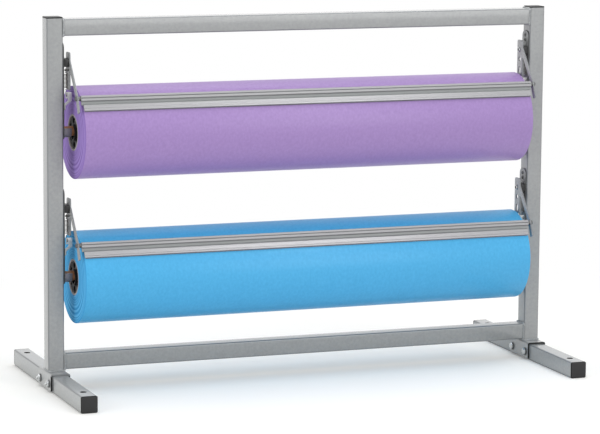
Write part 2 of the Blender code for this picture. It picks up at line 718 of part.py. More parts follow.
def cutter_bar(deck, roll_height, origin):
    """The extruded bar: a lipped plate, a recess, a ridge, a groove and a deep head along its top."""
    half = HALF_CLEAR - BAR_END_GAP
    bevel = BAR_EDGE_BEVEL
    recess = -BAR_RECESS_DEPTH
    outline = bar_outline([
        (-bevel, 0.0), (BAR_LIP_PROUD, bevel), (BAR_LIP_PROUD, BAR_LIP_TOP),
        (0.0, BAR_LIP_TOP + bevel), (0.0, BAR_SHOULDER), (recess, BAR_PLATE_HEIGHT + bevel),
        (recess, BAR_RECESS_TOP - bevel), (BAR_RIDGE_PROUD, BAR_RECESS_TOP + bevel),
        (BAR_RIDGE_PROUD, BAR_RIDGE_TOP), (-BAR_GROOVE_DEPTH, BAR_RIDGE_TOP),
        (-BAR_GROOVE_DEPTH, BAR_GROOVE_TOP), (BAR_RIDGE_PROUD, BAR_GROOVE_TOP),
        (BAR_RIDGE_PROUD, BAR_HEIGHT - bevel), (BAR_RIDGE_PROUD - bevel, BAR_HEIGHT),
        (-BAR_HEAD_DEPTH, BAR_HEIGHT), (-BAR_HEAD_DEPTH, BAR_HEAD_BOTTOM),
        (recess - BAR_SKIN, BAR_HEAD_BOTTOM), (recess - BAR_SKIN, BAR_PLATE_HEIGHT - bevel),
        (-BAR_SKIN, BAR_PLATE_HEIGHT - bevel), (-BAR_SKIN, 0.0)], roll_height)
    bar = add_object(deck + "_cutter_bar", prism(outline, [], -half, half, along_x), "aluminium")
    notch = bar_outline([
        (-BAR_HEAD_DEPTH, -OVERCUT), (OVERCUT, -OVERCUT),
        (OVERCUT, BAR_PLATE_HEIGHT - BAR_SKIN), (-BAR_HEAD_DEPTH, BAR_PLATE_HEIGHT - BAR_SKIN)],
        roll_height)
    forward, up = bar_point(-BAR_BOLT_IN, BAR_BOLT_UP)
    for side in (-1, 1):
        end = side * half
        cut(bar, prism(notch, [], end - side * BAR_NOTCH_LENGTH, end + side * OVERCUT, along_x))
        cut(bar, rod(BAR_BOLT_RADIUS + TOUCH_GAP, end - side * (BAR_BOLT_DEPTH + TOUCH_GAP),
                     end + side * OVERCUT, forward, roll_height + up))
    set_origin(bar, origin)


def cutter_blade(deck, roll_height, origin):
    """The steel strip behind the bar's plate, whose edge lies on the paper."""
    half = HALF_CLEAR - BAR_END_GAP - BLADE_END_INSET
    front = -BAR_SKIN - TOUCH_GAP
    rear = front - BLADE_THICKNESS
    outline = bar_outline([
        (front - BLADE_TIP_BEVEL, -BLADE_PROUD), (front, BLADE_TIP_BEVEL - BLADE_PROUD),
        (front, BLADE_HEIGHT), (rear, BLADE_HEIGHT), (rear, -BLADE_PROUD)], roll_height)
    blade = add_object(deck + "_cutter_blade", prism(outline, [], -half, half, along_x), "blade steel")
    set_origin(blade, origin)


def meet(point_a, way_a, point_b, way_b):
    """Where two lines in the side view cross."""
    cross = way_a[0] * way_b[1] - way_a[1] * way_b[0]
    gap = (point_b[0] - point_a[0], point_b[1] - point_a[1])
    s = (gap[0] * way_b[1] - gap[1] * way_b[0]) / cross
    return (point_a[0] + s * way_a[0], point_a[1] + s * way_a[1])


def lever_outline(roll_height):
    """The lever's outline in the side view: leg, arm and lug, with rounded corners."""
    pivot = roll_height + PIVOT_RISE
    half = ARM_WIDTH / 2
    start = (LEG_FRONT, pivot - ARM_ROOT_DROP)
    bolt_forward, bolt_rise = bar_point(-BAR_BOLT_IN, BAR_BOLT_UP)
    reach = Vector((bolt_forward - start[0], roll_height + bolt_rise - start[1])).normalized()
    down = (reach.x, reach.y)
    over = (start[0] - half * down[1], start[1] + half * down[0])
    under = (start[0] + half * down[1], start[1] - half * down[0])
    up = (-math.sin(BAR_TILT), math.cos(BAR_TILT))
    lug = [bar_point(0.0, -LUG_BOTTOM), bar_point(-LUG_REAR, -LUG_BOTTOM)]
    lug_front, lug_rear = [(forward, roll_height + height) for forward, height in lug]
    upright_way = (0.0, 1.0)
    root_over = meet(over, down, start, upright_way)
    root_under = meet(under, down, start, upright_way)
    tip_over = meet(over, down, lug_front, up)
    tip_under = meet(under, down, lug_rear, up)
    return round_corners([
        (-LEG_REAR, pivot + LEG_TOP, LEG_TOP_ROUND), (LEG_FRONT, pivot + LEG_TOP, LEG_TOP_ROUND),
        (*root_over, CORNER_ROUND), (*tip_over, CORNER_ROUND), (*lug_front, CORNER_ROUND),
        (*lug_rear, CORNER_ROUND), (*tip_under, CORNER_ROUND), (*root_under, CORNER_ROUND),
        (LEG_FRONT, pivot - LEG_BOTTOM, LEG_FRONT_ROUND),
        (-LEG_REAR, pivot - LEG_BOTTOM, LEG_REAR_ROUND)])


def lever(side, name, roll_height, origin):
    """One lever, with the spring's pin and the bolt and spacer at the bar's end."""
    pivot = roll_height + PIVOT_RISE
    holes = [circle((0.0, pivot), PIVOT_BOLT_RADIUS + RUN_GAP, BOLT_FACETS),
             circle((LEG_HOLE_FORWARD, pivot - LEG_HOLE_DROP), LEG_HOLE_RADIUS, HOLE_FACETS),
             slot_outline(LEG_HOLE_FORWARD, pivot - LEG_SLOT_BOTTOM, pivot - LEG_SLOT_TOP,
                          LEG_SLOT_RADIUS)]
    plate = add_object(name + "_lever",
                       prism(lever_outline(roll_height), holes, inset(side, LEVER_OUTER),
                             inset(side, LEVER_INNER), along_x), "silver enamel")
    middle = (LEVER_OUTER + LEVER_INNER) / 2
    fuse(plate, rod(SPRING_PIN_RADIUS, inset(side, middle), inset(side, SPRING_INSET - SPRING_PIN_TIP),
                    SPRING_FORWARD, pivot - SPRING_PIN_DROP))
    forward, up = bar_point(-BAR_BOLT_IN, BAR_BOLT_UP)
    height = roll_height + up
    fuse(plate, prism(hexagon((forward, height), BAR_BOLT_HEAD_FLATS), [], inset(side, middle),
                      inset(side, LEVER_OUTER - BAR_BOLT_HEAD_HEIGHT), along_x))
    fuse(plate, rod(BAR_SPACER_RADIUS, inset(side, middle), inset(side, BAR_END_GAP - TOUCH_GAP),
                    forward, height))
    fuse(plate, rod(BAR_BOLT_RADIUS, inset(side, LEVER_INNER), inset(side, BAR_END_GAP + BAR_BOLT_DEPTH),
                    forward, height))
    set_origin(plate, origin)


def pivot_block(side, name, pivot, origin):
    """The plastic block that keeps the lever off the side plate and turns with it."""
    outline = [(u, v + pivot) for u, v in
               rounded_box_outline(BLOCK_HALF_DEPTH, BLOCK_HALF_HEIGHT, BLOCK_ROUND)]
    hole = circle((0.0, pivot), PIVOT_BOLT_RADIUS + RUN_GAP, BOLT_FACETS)
    block = add_object(name + "_pivot_block",
                       prism(outline, [hole], inset(side, BLOCK_OUTER),
                             inset(side, BLOCK_OUTER + BLOCK_LENGTH), along_x), "black plastic")
    set_origin(block, origin)


# Roll


def hollow_roll(name, half_length, radius, bore, facets, height, finish_name):
    """A straight tube along X with its origin on its axis."""
    profile = [(-half_length, bore), (half_length, bore), (half_length, radius), (-half_length, radius)]
    made = add_object(name, turned(profile, facets, height), finish_name)
    set_origin(made, (0.0, 0.0, height))


def core_plug(side, name, height):
    """A moulded plug: rim, web with a ring of holes, and a wide hub that hangs on the shaft."""
    rim = CORE_BORE_RADIUS - TOUCH_GAP
    face = PAPER_END_GAP + PLUG_RECESS
    back = face + PLUG_DEPTH
    web = face + PLUG_WEB
    profile = [(face, rim), (back, rim), (back, rim - PLUG_RIM), (web, rim - PLUG_RIM),
               (web, PLUG_HUB_RADIUS), (back, PLUG_HUB_RADIUS), (back, PLUG_BORE_RADIUS),
               (face - PLUG_HUB_PROUD, PLUG_BORE_RADIUS), (face - PLUG_HUB_PROUD, PLUG_HUB_RADIUS),
               (face, PLUG_HUB_RADIUS)]
    plug = add_object(name + "_plug", turned([(inset(side, d), r) for d, r in profile], PLUG_FACETS,
                                             height), "black plastic")
    drills = bmesh.new()
    for k in range(PLUG_HOLES):
        angle = PLUG_HOLE_START + 2 * math.pi * k / PLUG_HOLES
        drills = join_meshes(drills, rod(
            PLUG_HOLE_RADIUS, inset(side, face - PLUG_WEB), inset(side, web + PLUG_WEB),
            PLUG_HOLE_CIRCLE * math.cos(angle), height + PLUG_HOLE_CIRCLE * math.sin(angle)))
    cut(plug, drills)
    set_origin(plug, (0.0, 0.0, height))


def build_deck(deck, roll_height, paper_finish):
    """Everything that one deck adds to the frame. The roll's axis hangs a little under the shaft's."""
    shaft_height = roll_height + ROLL_SAG
    pivot = roll_height + PIVOT_RISE
    origin = (0.0, 0.0, pivot)
    for side, word in ((-1, "left"), (1, "right")):
        name = f"{deck}_{word}"
        side_plate(side, name, roll_height)
        shaft_seat(side, name, shaft_height)
        spring_anchor(side, name, pivot)
        pivot_bolt(side, name, pivot)
        tension_spring(side, name, pivot)
        pivot_block(side, name, pivot, origin)
        lever(side, name, roll_height, origin)
        core_plug(side, name, roll_height)
    cutter_bar(deck, roll_height, origin)
    cutter_blade(deck, roll_height, origin)
    half_paper = PAPER_LENGTH / 2
    hollow_roll(deck + "_paper", half_paper, PAPER_RADIUS, CORE_RADIUS + TOUCH_GAP, PAPER_FACETS,
                roll_height, paper_finish)
    hollow_roll(deck + "_core", half_paper, CORE_RADIUS, CORE_BORE_RADIUS, CORE_FACETS,
                roll_height, "kraft card")
    hollow_roll(deck + "_shaft", HALF_CLEAR - PLATE_INNER - SHAFT_END_GAP, SHAFT_RADIUS,
                SHAFT_RADIUS - SHAFT_WALL, SHAFT_FACETS, shaft_height, "bronzed steel")


def main():
    """Builds the whole rack."""
    clear_scene()
    for side, name in ((-1, "left"), (1, "right")):
        upright(side, name)
        foot(side, name)
    rail("top_rail", STEEL_HEIGHT - TOP_RAIL_DROP - TUBE)
    rail("bottom_rail", BOTTOM_RAIL_UNDERSIDE)
    build_deck("upper", ROLL_HEIGHTS["upper"], "lilac paper")
    build_deck("lower", ROLL_HEIGHTS["lower"], "sky paper")


main()
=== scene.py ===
"""Looks of a free-standing two-deck rack for rolls of wrapping paper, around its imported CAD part.

Axes: +X to the right, -Y to the front, +Z up, in metres, with the origin on the counter under the
middle. Each class is one sub-assembly: it holds its sizes, works its surfaces out as whole arrays
and dresses them.
"""
import logging
import math
from collections.abc import Iterable, Iterator, Sequence
from contextlib import contextmanager
from dataclasses import dataclass, field, replace
from enum import Enum
from functools import reduce

import bmesh
import bpy
import numpy as np
from bpy.types import Mesh, Node, NodeSocket, NodeTree, Object
from mathutils import Matrix, Vector


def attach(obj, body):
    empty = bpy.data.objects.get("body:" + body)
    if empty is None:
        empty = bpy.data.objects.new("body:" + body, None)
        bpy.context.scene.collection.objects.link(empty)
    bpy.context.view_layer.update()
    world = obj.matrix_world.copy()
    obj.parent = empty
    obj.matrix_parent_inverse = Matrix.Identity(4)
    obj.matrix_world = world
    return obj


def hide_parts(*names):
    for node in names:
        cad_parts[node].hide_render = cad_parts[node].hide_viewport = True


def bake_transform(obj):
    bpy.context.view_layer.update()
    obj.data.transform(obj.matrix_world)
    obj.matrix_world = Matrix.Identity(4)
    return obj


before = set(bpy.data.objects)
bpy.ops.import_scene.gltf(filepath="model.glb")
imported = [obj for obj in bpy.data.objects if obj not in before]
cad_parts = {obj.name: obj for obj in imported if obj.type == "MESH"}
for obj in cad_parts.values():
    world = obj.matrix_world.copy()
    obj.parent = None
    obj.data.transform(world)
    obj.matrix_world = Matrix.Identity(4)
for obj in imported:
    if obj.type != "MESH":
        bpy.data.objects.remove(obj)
LOG = logging.getLogger("rack")
Pair = tuple[float, float]
Triple = tuple[float, float, float]
MM = 0.001
TAU = 2.0 * math.pi
# Where noise is taken from: a place away from zero, since its pattern is regular there.
NOISE_START = (13.37, 7.61, 3.23)
# How strong each finer layer of noise is, and how many of them clouds and reliefs have.
NOISE_ROUGHNESS, CLOUD_DETAIL, RELIEF_DETAIL = 0.55, 3.0, 2.0
# The part of a relief's range over which the roughness changes.
RELIEF_RANGE = (0.25, 0.75)
# How far a face looks along an axis, from 0 to 1: a rounded corner looks further than the first
# value to two sides at once, a plate's rim less than the second along its thickness, and a flat
# end further than the third along its axis.
CORNER_LEAN, RIM_LEAN, END_LEAN = 0.3, 0.5, 0.9
# The angle past which an edge stays sharp: on most pieces, on plates, whose rims are round already,
# and on the bar, whose grooves have low edges. Under the last angle CAD facets count as flat.
SHARP, PLATE_SHARP, BAR_SHARP, FLAT = np.radians([32.0, 50.0, 24.0, 1.0]).tolist()
# How near points are merged, in new surfaces and in copies of CAD meshes.
MERGE, CAD_MERGE = 1e-6, 1e-5
# How far edges are eased: on bolts, and on pressed and sheared pieces.
FINE_EDGE, EDGE = 0.15 * MM, 0.3 * MM
# How far off a size a face's middle may lie and still count as on it.
SLACK = 0.05 * MM
# Facets once round the paper, the core, the shaft, a drilled hole and a weld bead.
PAPER_FACETS, CORE_FACETS, SHAFT_FACETS, HOLE_FACETS, BEAD_FACETS = 192, 96, 64, 40, 10
# Steps along a bend, a side plate's corner, a seat's hook, a slot's end and a cap's rim.
BEND_STEPS, PLATE_STEPS, SEAT_STEPS, SLOT_STEPS, CAP_POINTS = 8, 10, 24, 16, 6
# The end caps' last three rings: how far they lie under the top, and how far inwards the last two
# lie, as shares of half a tube.
CAP_DROPS, CAP_RINGS = (0.15 * MM, 0.05 * MM, 0.0), (0.45, 0.8)
# The least share of its corner radius that the tubes' outline keeps further inwards.
LEAST_CORNER = 0.3
# Under these a length, a turn in radians and a step from point to point count as none.
LEAST_LENGTH, LEAST_TURN, LEAST_STEP = 1e-9, 1e-6, 1e-7
# The colour sockets of Blender's Mix node, and its colour output.
MIX_FIRST, MIX_SECOND, MIX_RESULT = 6, 7, 2


def linear(code: str) -> tuple[float, float, float, float]:
    """Turns an sRGB hex colour to linear light by the standard's curve: a share up to 0.04045 is
    divided by 12.92, and a higher one is ((share + 0.055) / 1.055) to the power 2.4.

    Args:
        code: six hex digits, red first.

    Returns:
        Red, green and blue from 0 to 1, and an alpha of 1.
    """
    share = np.array([int(code[i:i + 2], 16) for i in (0, 2, 4)]) / 255.0
    light = np.where(share <= 0.04045, share / 12.92, ((share + 0.055) / 1.055) ** 2.4)
    return (*light.tolist(), 1.0)


def feed(tree: NodeTree, node: Node, inputs: dict) -> Node:
    """Gives a node its inputs.

    Args:
        tree: the node's tree.
        node: the node.
        inputs: input name or number to a value, or to the output socket it is linked from.

    Returns:
        The same node.
    """
    for key, value in inputs.items():
        if isinstance(value, NodeSocket):
            tree.links.new(value, node.inputs[key])
        else:
            node.inputs[key].default_value = value
    return node


def add_node(tree: NodeTree, kind: str, inputs: dict | None = None, **settings: object) -> Node:
    """Adds one node with its settings, values and links.

    Args:
        tree: the node tree it goes into.
        kind: the kind of node, in Blender's word for it after ShaderNode.
        inputs: what feed takes.
        settings: attributes set before the inputs.

    Returns:
        The node.
    """
    made = tree.nodes.new("ShaderNode" + kind)
    for key, value in settings.items():
        setattr(made, key, value)
    return feed(tree, made, inputs or {})


def object_place(tree: NodeTree) -> NodeSocket:
    """Object coordinates."""
    return add_node(tree, "TexCoord").outputs["Object"]


def worked(tree: NodeTree, operation: str, *values: object) -> NodeSocket:
    """The result of one operation on numbers."""
    return add_node(tree, "Math", dict(enumerate(values)), operation=operation).outputs[0]


def length_of(tree: NodeTree, vector: NodeSocket) -> NodeSocket:
    """The length of a vector."""
    return add_node(tree, "VectorMath", {0: vector}, operation="LENGTH").outputs["Value"]


def ranged(tree: NodeTree, value: NodeSocket, source: Pair, target: Pair,
           **settings: object) -> NodeSocket:
    """Maps a value from one range to another, and holds it there past the range's ends.

    Args:
        tree: the node tree.
        value: the value.
        source: the first range.
        target: what its two ends become.
        settings: more attributes of the node.

    Returns:
        The mapped value.
    """
    return add_node(tree, "MapRange", {
        "Value": value, "From Min": source[0], "From Max": source[1],
        "To Min": target[0], "To Max": target[1]}, **settings).outputs["Result"]


def blended(tree: NodeTree, share: NodeSocket, first: object, second: object) -> NodeSocket:
    """Mixes two colours: the first where the share is 0, the second where it is 1."""
    return add_node(tree, "Mix", {0: share, MIX_FIRST: first, MIX_SECOND: second},
                    data_type="RGBA").outputs[MIX_RESULT]


def mixed_shader(tree: NodeTree, share: NodeSocket, first: Node, second: Node) -> Node:
    """Mixes two shaders: the first where the share is 0, the second where it is 1."""
    return add_node(tree, "MixShader", {0: share, 1: first.outputs[0], 2: second.outputs[0]})


@dataclass(frozen=True)
class Finish:
    """A solid finish: a base colour with faint clouds of a second one, and a grain in its relief.

    The clouds and the grain are noise on Object coordinates. Their sizes are real ones, in mm: one
    for all axes, or one for each, so a long size along one axis draws the pattern out along it.
    """

    name: str
    slot: str
    colour: str
    tint: str
    roughness: float
    metallic: float = 0.0
    cloud_mm: float | Triple = 40.0
    cloud_share: float = 0.5
    grain_mm: float | Triple = 1.0
    grain_height_mm: float = 0.02
    roughness_spread: float = 0.06
    specular: float = 0.5
    coat: float = 0.0
    coat_roughness: float = 0.1
    contrast: Pair = (0.3, 0.7)

    def noise(self, tree: NodeTree, size_mm: float | Triple, detail: float) -> NodeSocket:
        """Adds noise on Object coordinates with a feature of about size_mm.

        Args:
            tree: the material's node tree.
            size_mm: the size of a feature, or its sizes along X, Y and Z.
            detail: how many finer layers it has.

        Returns:
            The noise's value, about 0 to 1.
        """
        scale = 1.0 / (np.broadcast_to(size_mm, 3) * MM)
        scaled = add_node(tree, "Mapping", {
            "Vector": object_place(tree), "Location": NOISE_START, "Scale": scale.tolist()})
        return add_node(tree, "TexNoise", {
            "Vector": scaled.outputs["Vector"], "Scale": 1.0, "Detail": detail,
            "Roughness": NOISE_ROUGHNESS}).outputs["Fac"]

    def pattern(self, tree: NodeTree) -> NodeSocket:
        """Where the second colour shows."""
        return self.noise(tree, self.cloud_mm, CLOUD_DETAIL)

    def colour_of(self, tree: NodeTree) -> NodeSocket:
        """Mixes the two colours by the pattern, whose spread is widened first."""
        share = ranged(tree, self.pattern(tree), self.contrast, (0.0, self.cloud_share))
        return blended(tree, share, linear(self.colour), linear(self.tint))

    def relief_of(self, tree: NodeTree) -> NodeSocket:
        """The height of the grain, from 0 to 1."""
        return self.noise(tree, self.grain_mm, RELIEF_DETAIL)

    def material(self) -> bpy.types.Material:
        """Builds the material once, and gives the same one afterwards.

        Returns:
            The material.
        """
        made = bpy.data.materials.get(self.name)
        if made is not None:
            return made
        made = bpy.data.materials.new(self.name)
        made.use_nodes = True
        tree = made.node_tree
        relief = self.relief_of(tree)
        rough = ranged(tree, relief, RELIEF_RANGE, (self.roughness - self.roughness_spread,
                                                    self.roughness + self.roughness_spread))
        bump = add_node(tree, "Bump", {
            "Height": relief, "Strength": 1.0, "Distance": self.grain_height_mm * MM})
        feed(tree, tree.nodes["Principled BSDF"], {
            "Base Color": self.colour_of(tree), "Roughness": rough,
            "Normal": bump.outputs["Normal"], "Metallic": self.metallic,
            "Specular IOR Level": self.specular, "Coat Weight": self.coat,
            "Coat Roughness": self.coat_roughness})
        return made


@dataclass(frozen=True)
class WoundEdge(Finish):
    """The end of a wound roll: rings about an axis along X at one height."""

    contrast: Pair = (0.36, 0.64)
    height: float = 0.0
    ring_mm: float = 1.0

    def relief_of(self, tree: NodeTree) -> NodeSocket:
        """Noise on the distance from the axis: every ring has its own height all the way round."""
        flat = add_node(tree, "Mapping", {
            "Vector": object_place(tree), "Location": (0.0, 0.0, -self.height),
            "Scale": (0.0, 1.0, 1.0)})
        return add_node(tree, "TexNoise", {
            "W": length_of(tree, flat.outputs["Vector"]), "Scale": 1.0 / (self.ring_mm * MM),
            "Detail": RELIEF_DETAIL}, noise_dimensions="1D").outputs["Fac"]

    def pattern(self, tree: NodeTree) -> NodeSocket:
        """The same rings, as light and dark layers."""
        return self.relief_of(tree)


@dataclass(frozen=True)
class RubbedSheet(Finish):
    """Coated sheet with a dark band across it at one height, ragged at its edges: painted shade
    below the pivot block.
    """

    height: float = 0.0
    half_band: float = 16.0 * MM
    soft_edge: float = 3.0 * MM
    ragged_mm: float = 6.0
    ragged_reach: float = 4.0 * MM
    grease: str = "3C3D3D"
    grease_share: float = 0.9

    def colour_of(self, tree: NodeTree) -> NodeSocket:
        """The clouded colour, darkened where |z - height|, roughened by noise, is in the band.

        Args:
            tree: the material's node tree.

        Returns:
            The colour.
        """
        up = add_node(tree, "SeparateXYZ", {"Vector": object_place(tree)}).outputs["Z"]
        off = worked(tree, "ABSOLUTE", worked(tree, "SUBTRACT", up, self.height))
        ragged = worked(tree, "MULTIPLY_ADD", self.noise(tree, self.ragged_mm, RELIEF_DETAIL),
                        self.ragged_reach, off)
        share = ranged(tree, ragged, (self.half_band + self.soft_edge, self.half_band),
                       (0.0, self.grease_share))
        return blended(tree, share, super().colour_of(tree), linear(self.grease))


# Polyester powder coat on mild steel, silver-grey: a satin skin with a faint orange peel, which
# mirrors the room where it is seen at a low angle.
ENAMEL = Finish("silver_powder_coat", "silver_enamel", "9B9D9D", "8F9192", 0.4, 0.1,
                cloud_mm=5.0, cloud_share=0.85, grain_mm=2.0, grain_height_mm=0.03, coat=1.0,
                coat_roughness=0.12)
# The same coat on the feet and the lower rail, a little darker: painted shade on the lower parts of
# the frame.
DULLED_ENAMEL = replace(ENAMEL, name="dulled_powder_coat", colour="939696", tint="878A8B")
# The same coat drawn darker on the tubes' rounded corners, the levers' rims and the left saddle's
# top end: painted shade along corners and edges.
THIN_COAT = Finish("thin_coat_on_corner", "silver_enamel", "7F8284", "76797B", 0.4, 0.1,
                   grain_mm=1.6, grain_height_mm=0.02, coat=0.3)
# The same coat over the welds, a little glossier, and paler as a painted highlight on the beads.
WELDED = Finish("coat_over_weld", "silver_enamel", "B4B7B8", "8B8E8F", 0.35, 0.1,
                cloud_mm=2.0, cloud_share=0.9, grain_mm=1.6, grain_height_mm=0.03)
# Zinc-flake coat on the levers' strip: fine, slightly mottled, a little duller than the tubes.
LEVER_SHEET = Finish("zinc_flake_on_lever", "silver_enamel", "B8BABA", "A0A2A2", 0.4, 0.3,
                     cloud_mm=4.0, cloud_share=1.0, grain_mm=0.8, grain_height_mm=0.015)
# The coat on the springs' anchor straps, drawn a little paler than on the tubes as painted light.
PALE_ENAMEL = replace(ENAMEL, name="pale_powder_coat", colour="B8B9B7", tint="A6A7A5", coat=0.4)
# Near black on the side plates' rims and the feet's lower corners: painted shade along the rims,
# and a painted contact shadow where the feet meet the floor.
GREASED_RIM = Finish("greased_sheared_rim", "silver_enamel", "4A4B4B", "363737", 0.5, 0.3,
                     cloud_mm=3.0, cloud_share=1.0, grain_mm=0.6, grain_height_mm=0.03)
# Black on the saddle's end faces: painted shade of the gap line at the saddle's ends.
SHEARED = Finish("sheared_steel_edge", "silver_enamel", "161617", "232324", 0.6, 0.3,
                 grain_mm=0.6, grain_height_mm=0.05)
# Near black inside the feet's tubes and on the walls of their drilled holes: painted shade, dull
# and with little gloss.
BARE = Finish("bare_tube_inside", "silver_enamel", "0C0C0B", "131211", 0.9, 0.0,
              grain_mm=2.0, grain_height_mm=0.03, specular=0.1)
# Bright zinc plate on fasteners: a fine, slightly milky metal.
ZINC = Finish("bright_zinc_plate", "zinc", "CDCFD0", "A9ACAC", 0.24, 0.9,
              cloud_mm=3.0, grain_mm=0.5, grain_height_mm=0.01)
# Washers, plate screws, spring pins and the bar's bolts: the same plate, duller, drawn dark grey as
# painted shade round and on the small hardware.
DULL_ZINC = Finish("dulled_zinc_plate", "zinc", "6B6C6C", "595A5A", 0.45, 0.6,
                   cloud_mm=3.0, grain_mm=0.5, grain_height_mm=0.01)
# The drive socket of a bolt, near black: painted shade in the recess.
GREASED = Finish("greased_socket", "zinc", "262524", "34322F", 0.4, 0.5,
                 cloud_mm=1.5, grain_mm=0.5, grain_height_mm=0.01)
# Injection-moulded polyethylene, black and matt from a spark-eroded mould.
MOULDED = Finish("black_moulded_polyethylene", "black_plastic", "1A1A1B", "222223", 0.4, 0.0,
                 grain_mm=0.8, grain_height_mm=0.03, specular=0.45)
# The caps' rims: the same plastic, deeper black and less glossy, as painted shade round the caps.
MOULDED_RIM = replace(MOULDED, name="black_polyethylene_rim", colour="0B0B0B", tint="121212",
                      specular=0.12)
# The core plugs: the same plastic, deeper black.
PLUG_PLASTIC = Finish("black_moulded_polypropylene", "black_plastic", "121212", "1C1C1D", 0.5, 0.0,
                      grain_mm=0.8, grain_height_mm=0.03, specular=0.15)
# Pickled steel strip of the shaft seats: dark grey, with the roller's faint clouds.
GREY_STEEL = Finish("pickled_steel_strip", "dark_steel", "85838A", "727077", 0.42, 0.4,
                    cloud_mm=5.0, grain_mm=0.7, grain_height_mm=0.015)
# Mill-finish aluminium extrusion: die lines run along X, drawn coarser than real to show.
EXTRUDED = Finish("mill_aluminium", "aluminium", "98989A", "8B8B8E", 0.3, 0.5,
                  cloud_mm=(500.0, 3.0, 3.0), grain_mm=(300.0, 0.7, 0.7), grain_height_mm=0.012)
# The bar's head, which every sheet is pulled up against: the same metal, scuffed duller.
SCUFFED = replace(EXTRUDED, name="scuffed_aluminium", colour="979799", tint="8B8B8D",
                  roughness=0.42)
# The floors of its grooves: duller, and darker as painted shade in the recesses.
DIE_SKIN = Finish("unbrushed_aluminium", "aluminium", "8B8E8E", "7E8181", 0.5, 0.4,
                  cloud_mm=(500.0, 2.0, 2.0), grain_mm=(300.0, 0.5, 0.5), grain_height_mm=0.012)
# Ground spring steel strip, cross-ground and drawn dark: painted shadow line along the bar's lower
# edge.
GROUND = Finish("oiled_steel_strip", "blade_steel", "77747C", "66646B", 0.3, 0.7,
                cloud_mm=(30.0, 4.0, 4.0), grain_mm=(0.4, 8.0, 8.0), grain_height_mm=0.006)
# Oiled music wire, dark grey-brown.
MUSIC_WIRE = Finish("music_wire", "spring_steel", "57534F", "6A645E", 0.35, 0.85,
                    cloud_mm=5.0, grain_mm=0.6, grain_height_mm=0.01)
# Brown-plated drawn steel tube: warm, with long draw lines along X.
BRONZED = Finish("bronzed_steel_tube", "bronzed_steel", "B17C58", "8C5D42", 0.36, 0.4,
                 cloud_mm=(60.0, 6.0, 6.0), grain_mm=(200.0, 0.8, 0.8), grain_height_mm=0.01)
# Spiral-wound card with a pale liner: fibrous and matt.
CARD = Finish("wound_card", "kraft_card", "B9B3B1", "A29A94", 0.85, 0.0,
              cloud_mm=(12.0, 3.0, 3.0), grain_mm=(1.2, 0.5, 0.5), grain_height_mm=0.05,
              specular=0.3)


@dataclass(frozen=True)
class PaperColours:
    """The colours of one roll: its face and its faint clouds, and the light and dark layers."""

    slot: str
    face: str
    face_tint: str
    edge: str
    edge_tint: str


class Side(Enum):
    """The left or the right half of the rack; the value is the sign of X."""

    LEFT = -1
    RIGHT = 1

    @property
    def word(self) -> str:
        """The side's word in the nodes' names."""
        return self.name.lower()

    def inset(self, distance: float | np.ndarray) -> float | np.ndarray:
        """X at a distance inwards from this side's upright."""
        return self.value * (RACK.half_clear - distance)


class Deck(Enum):
    """The upper or the lower roll; the value is the height of its axis."""

    UPPER = 489.0 * MM
    LOWER = 212.5 * MM

    @property
    def word(self) -> str:
        """The deck's word in the nodes' names."""
        return self.name.lower()

    def at(self, side: Side) -> str:
        """The start of the names of what belongs to this deck and one side."""
        return f"{self.word}_{side.word}"

    @property
    def shaft(self) -> float:
        """The height of the shaft's axis: the plugs' wide hubs hang on the shaft by their tops."""
        return self.value + RACK.plug_bore - RACK.shaft_radius - RACK.touch

    @property
    def pivot(self) -> float:
        """The height of the pivot of this deck's levers."""
        return self.value + RACK.pivot_rise

    @property
    def paper(self) -> PaperColours:
        """The colours of this deck's roll."""
        if self is Deck.UPPER:
            return PaperColours("lilac_paper", "A689C3", "987BB7", "AA90D4", "886CB6")
        return PaperColours("sky_paper", "4BB4E8", "3CA5DC", "66C2F4", "3497D6")


class Along(Enum):
    """The axis that a profile is carried along."""

    X = "x"
    Y = "y"
    Z = "z"

    def place(self, u: np.ndarray, v: np.ndarray, w: np.ndarray) -> np.ndarray:
        """Turns profile coordinates to points.

        Along X, u is to the front and v is up. Along Y, u is to the right and v is up, with w to
        the front. Along Z, u is to the right and v to the front.

        Args:
            u: first profile coordinate.
            v: second profile coordinate.
            w: distance along the axis.

        Returns:
            Points, with X, Y and Z in the last dimension.
        """
        u, v, w = np.broadcast_arrays(u, v, w)
        order = {Along.X: (w, -u, v), Along.Y: (u, -w, v), Along.Z: (u, -v, w)}[self]
        return np.stack(order, axis=-1)


@dataclass(frozen=True)
class RackSizes:
    """Sizes that several sub-assemblies share."""

    half_clear: float = 480.0 * MM
    half_tube: float = 15.875 * MM
    tube_wall: float = 1.6 * MM
    tube_corner: float = 3.2 * MM
    steel_height: float = 706.0 * MM
    saddle_top: float = 35.05 * MM
    pivot_rise: float = 133.0 * MM
    paper_radius: float = 88.0 * MM
    paper_end: float = 22.8 * MM
    core_radius: float = 34.75 * MM
    core_bore: float = 31.75 * MM
    plug_bore: float = 12.8 * MM
    shaft_radius: float = 9.525 * MM
    touch: float = 0.3 * MM
    plate: float = 2.0 * MM
    block: float = 9.4 * MM
    lever: float = 2.5 * MM

    @property
    def upright_centre(self) -> float:
        """X of the middle of the right upright."""
        return self.half_clear + self.half_tube

    @property
    def plate_inner(self) -> float:
        """The side plate's inner face, from the upright."""
        return self.touch + self.plate

    @property
    def lever_outer(self) -> float:
        """The lever's outer face, from the upright."""
        return self.plate_inner + 2 * self.touch + self.block

    @property
    def lever_inner(self) -> float:
        """The lever's inner face, from the upright."""
        return self.lever_outer + self.lever


RACK = RackSizes()


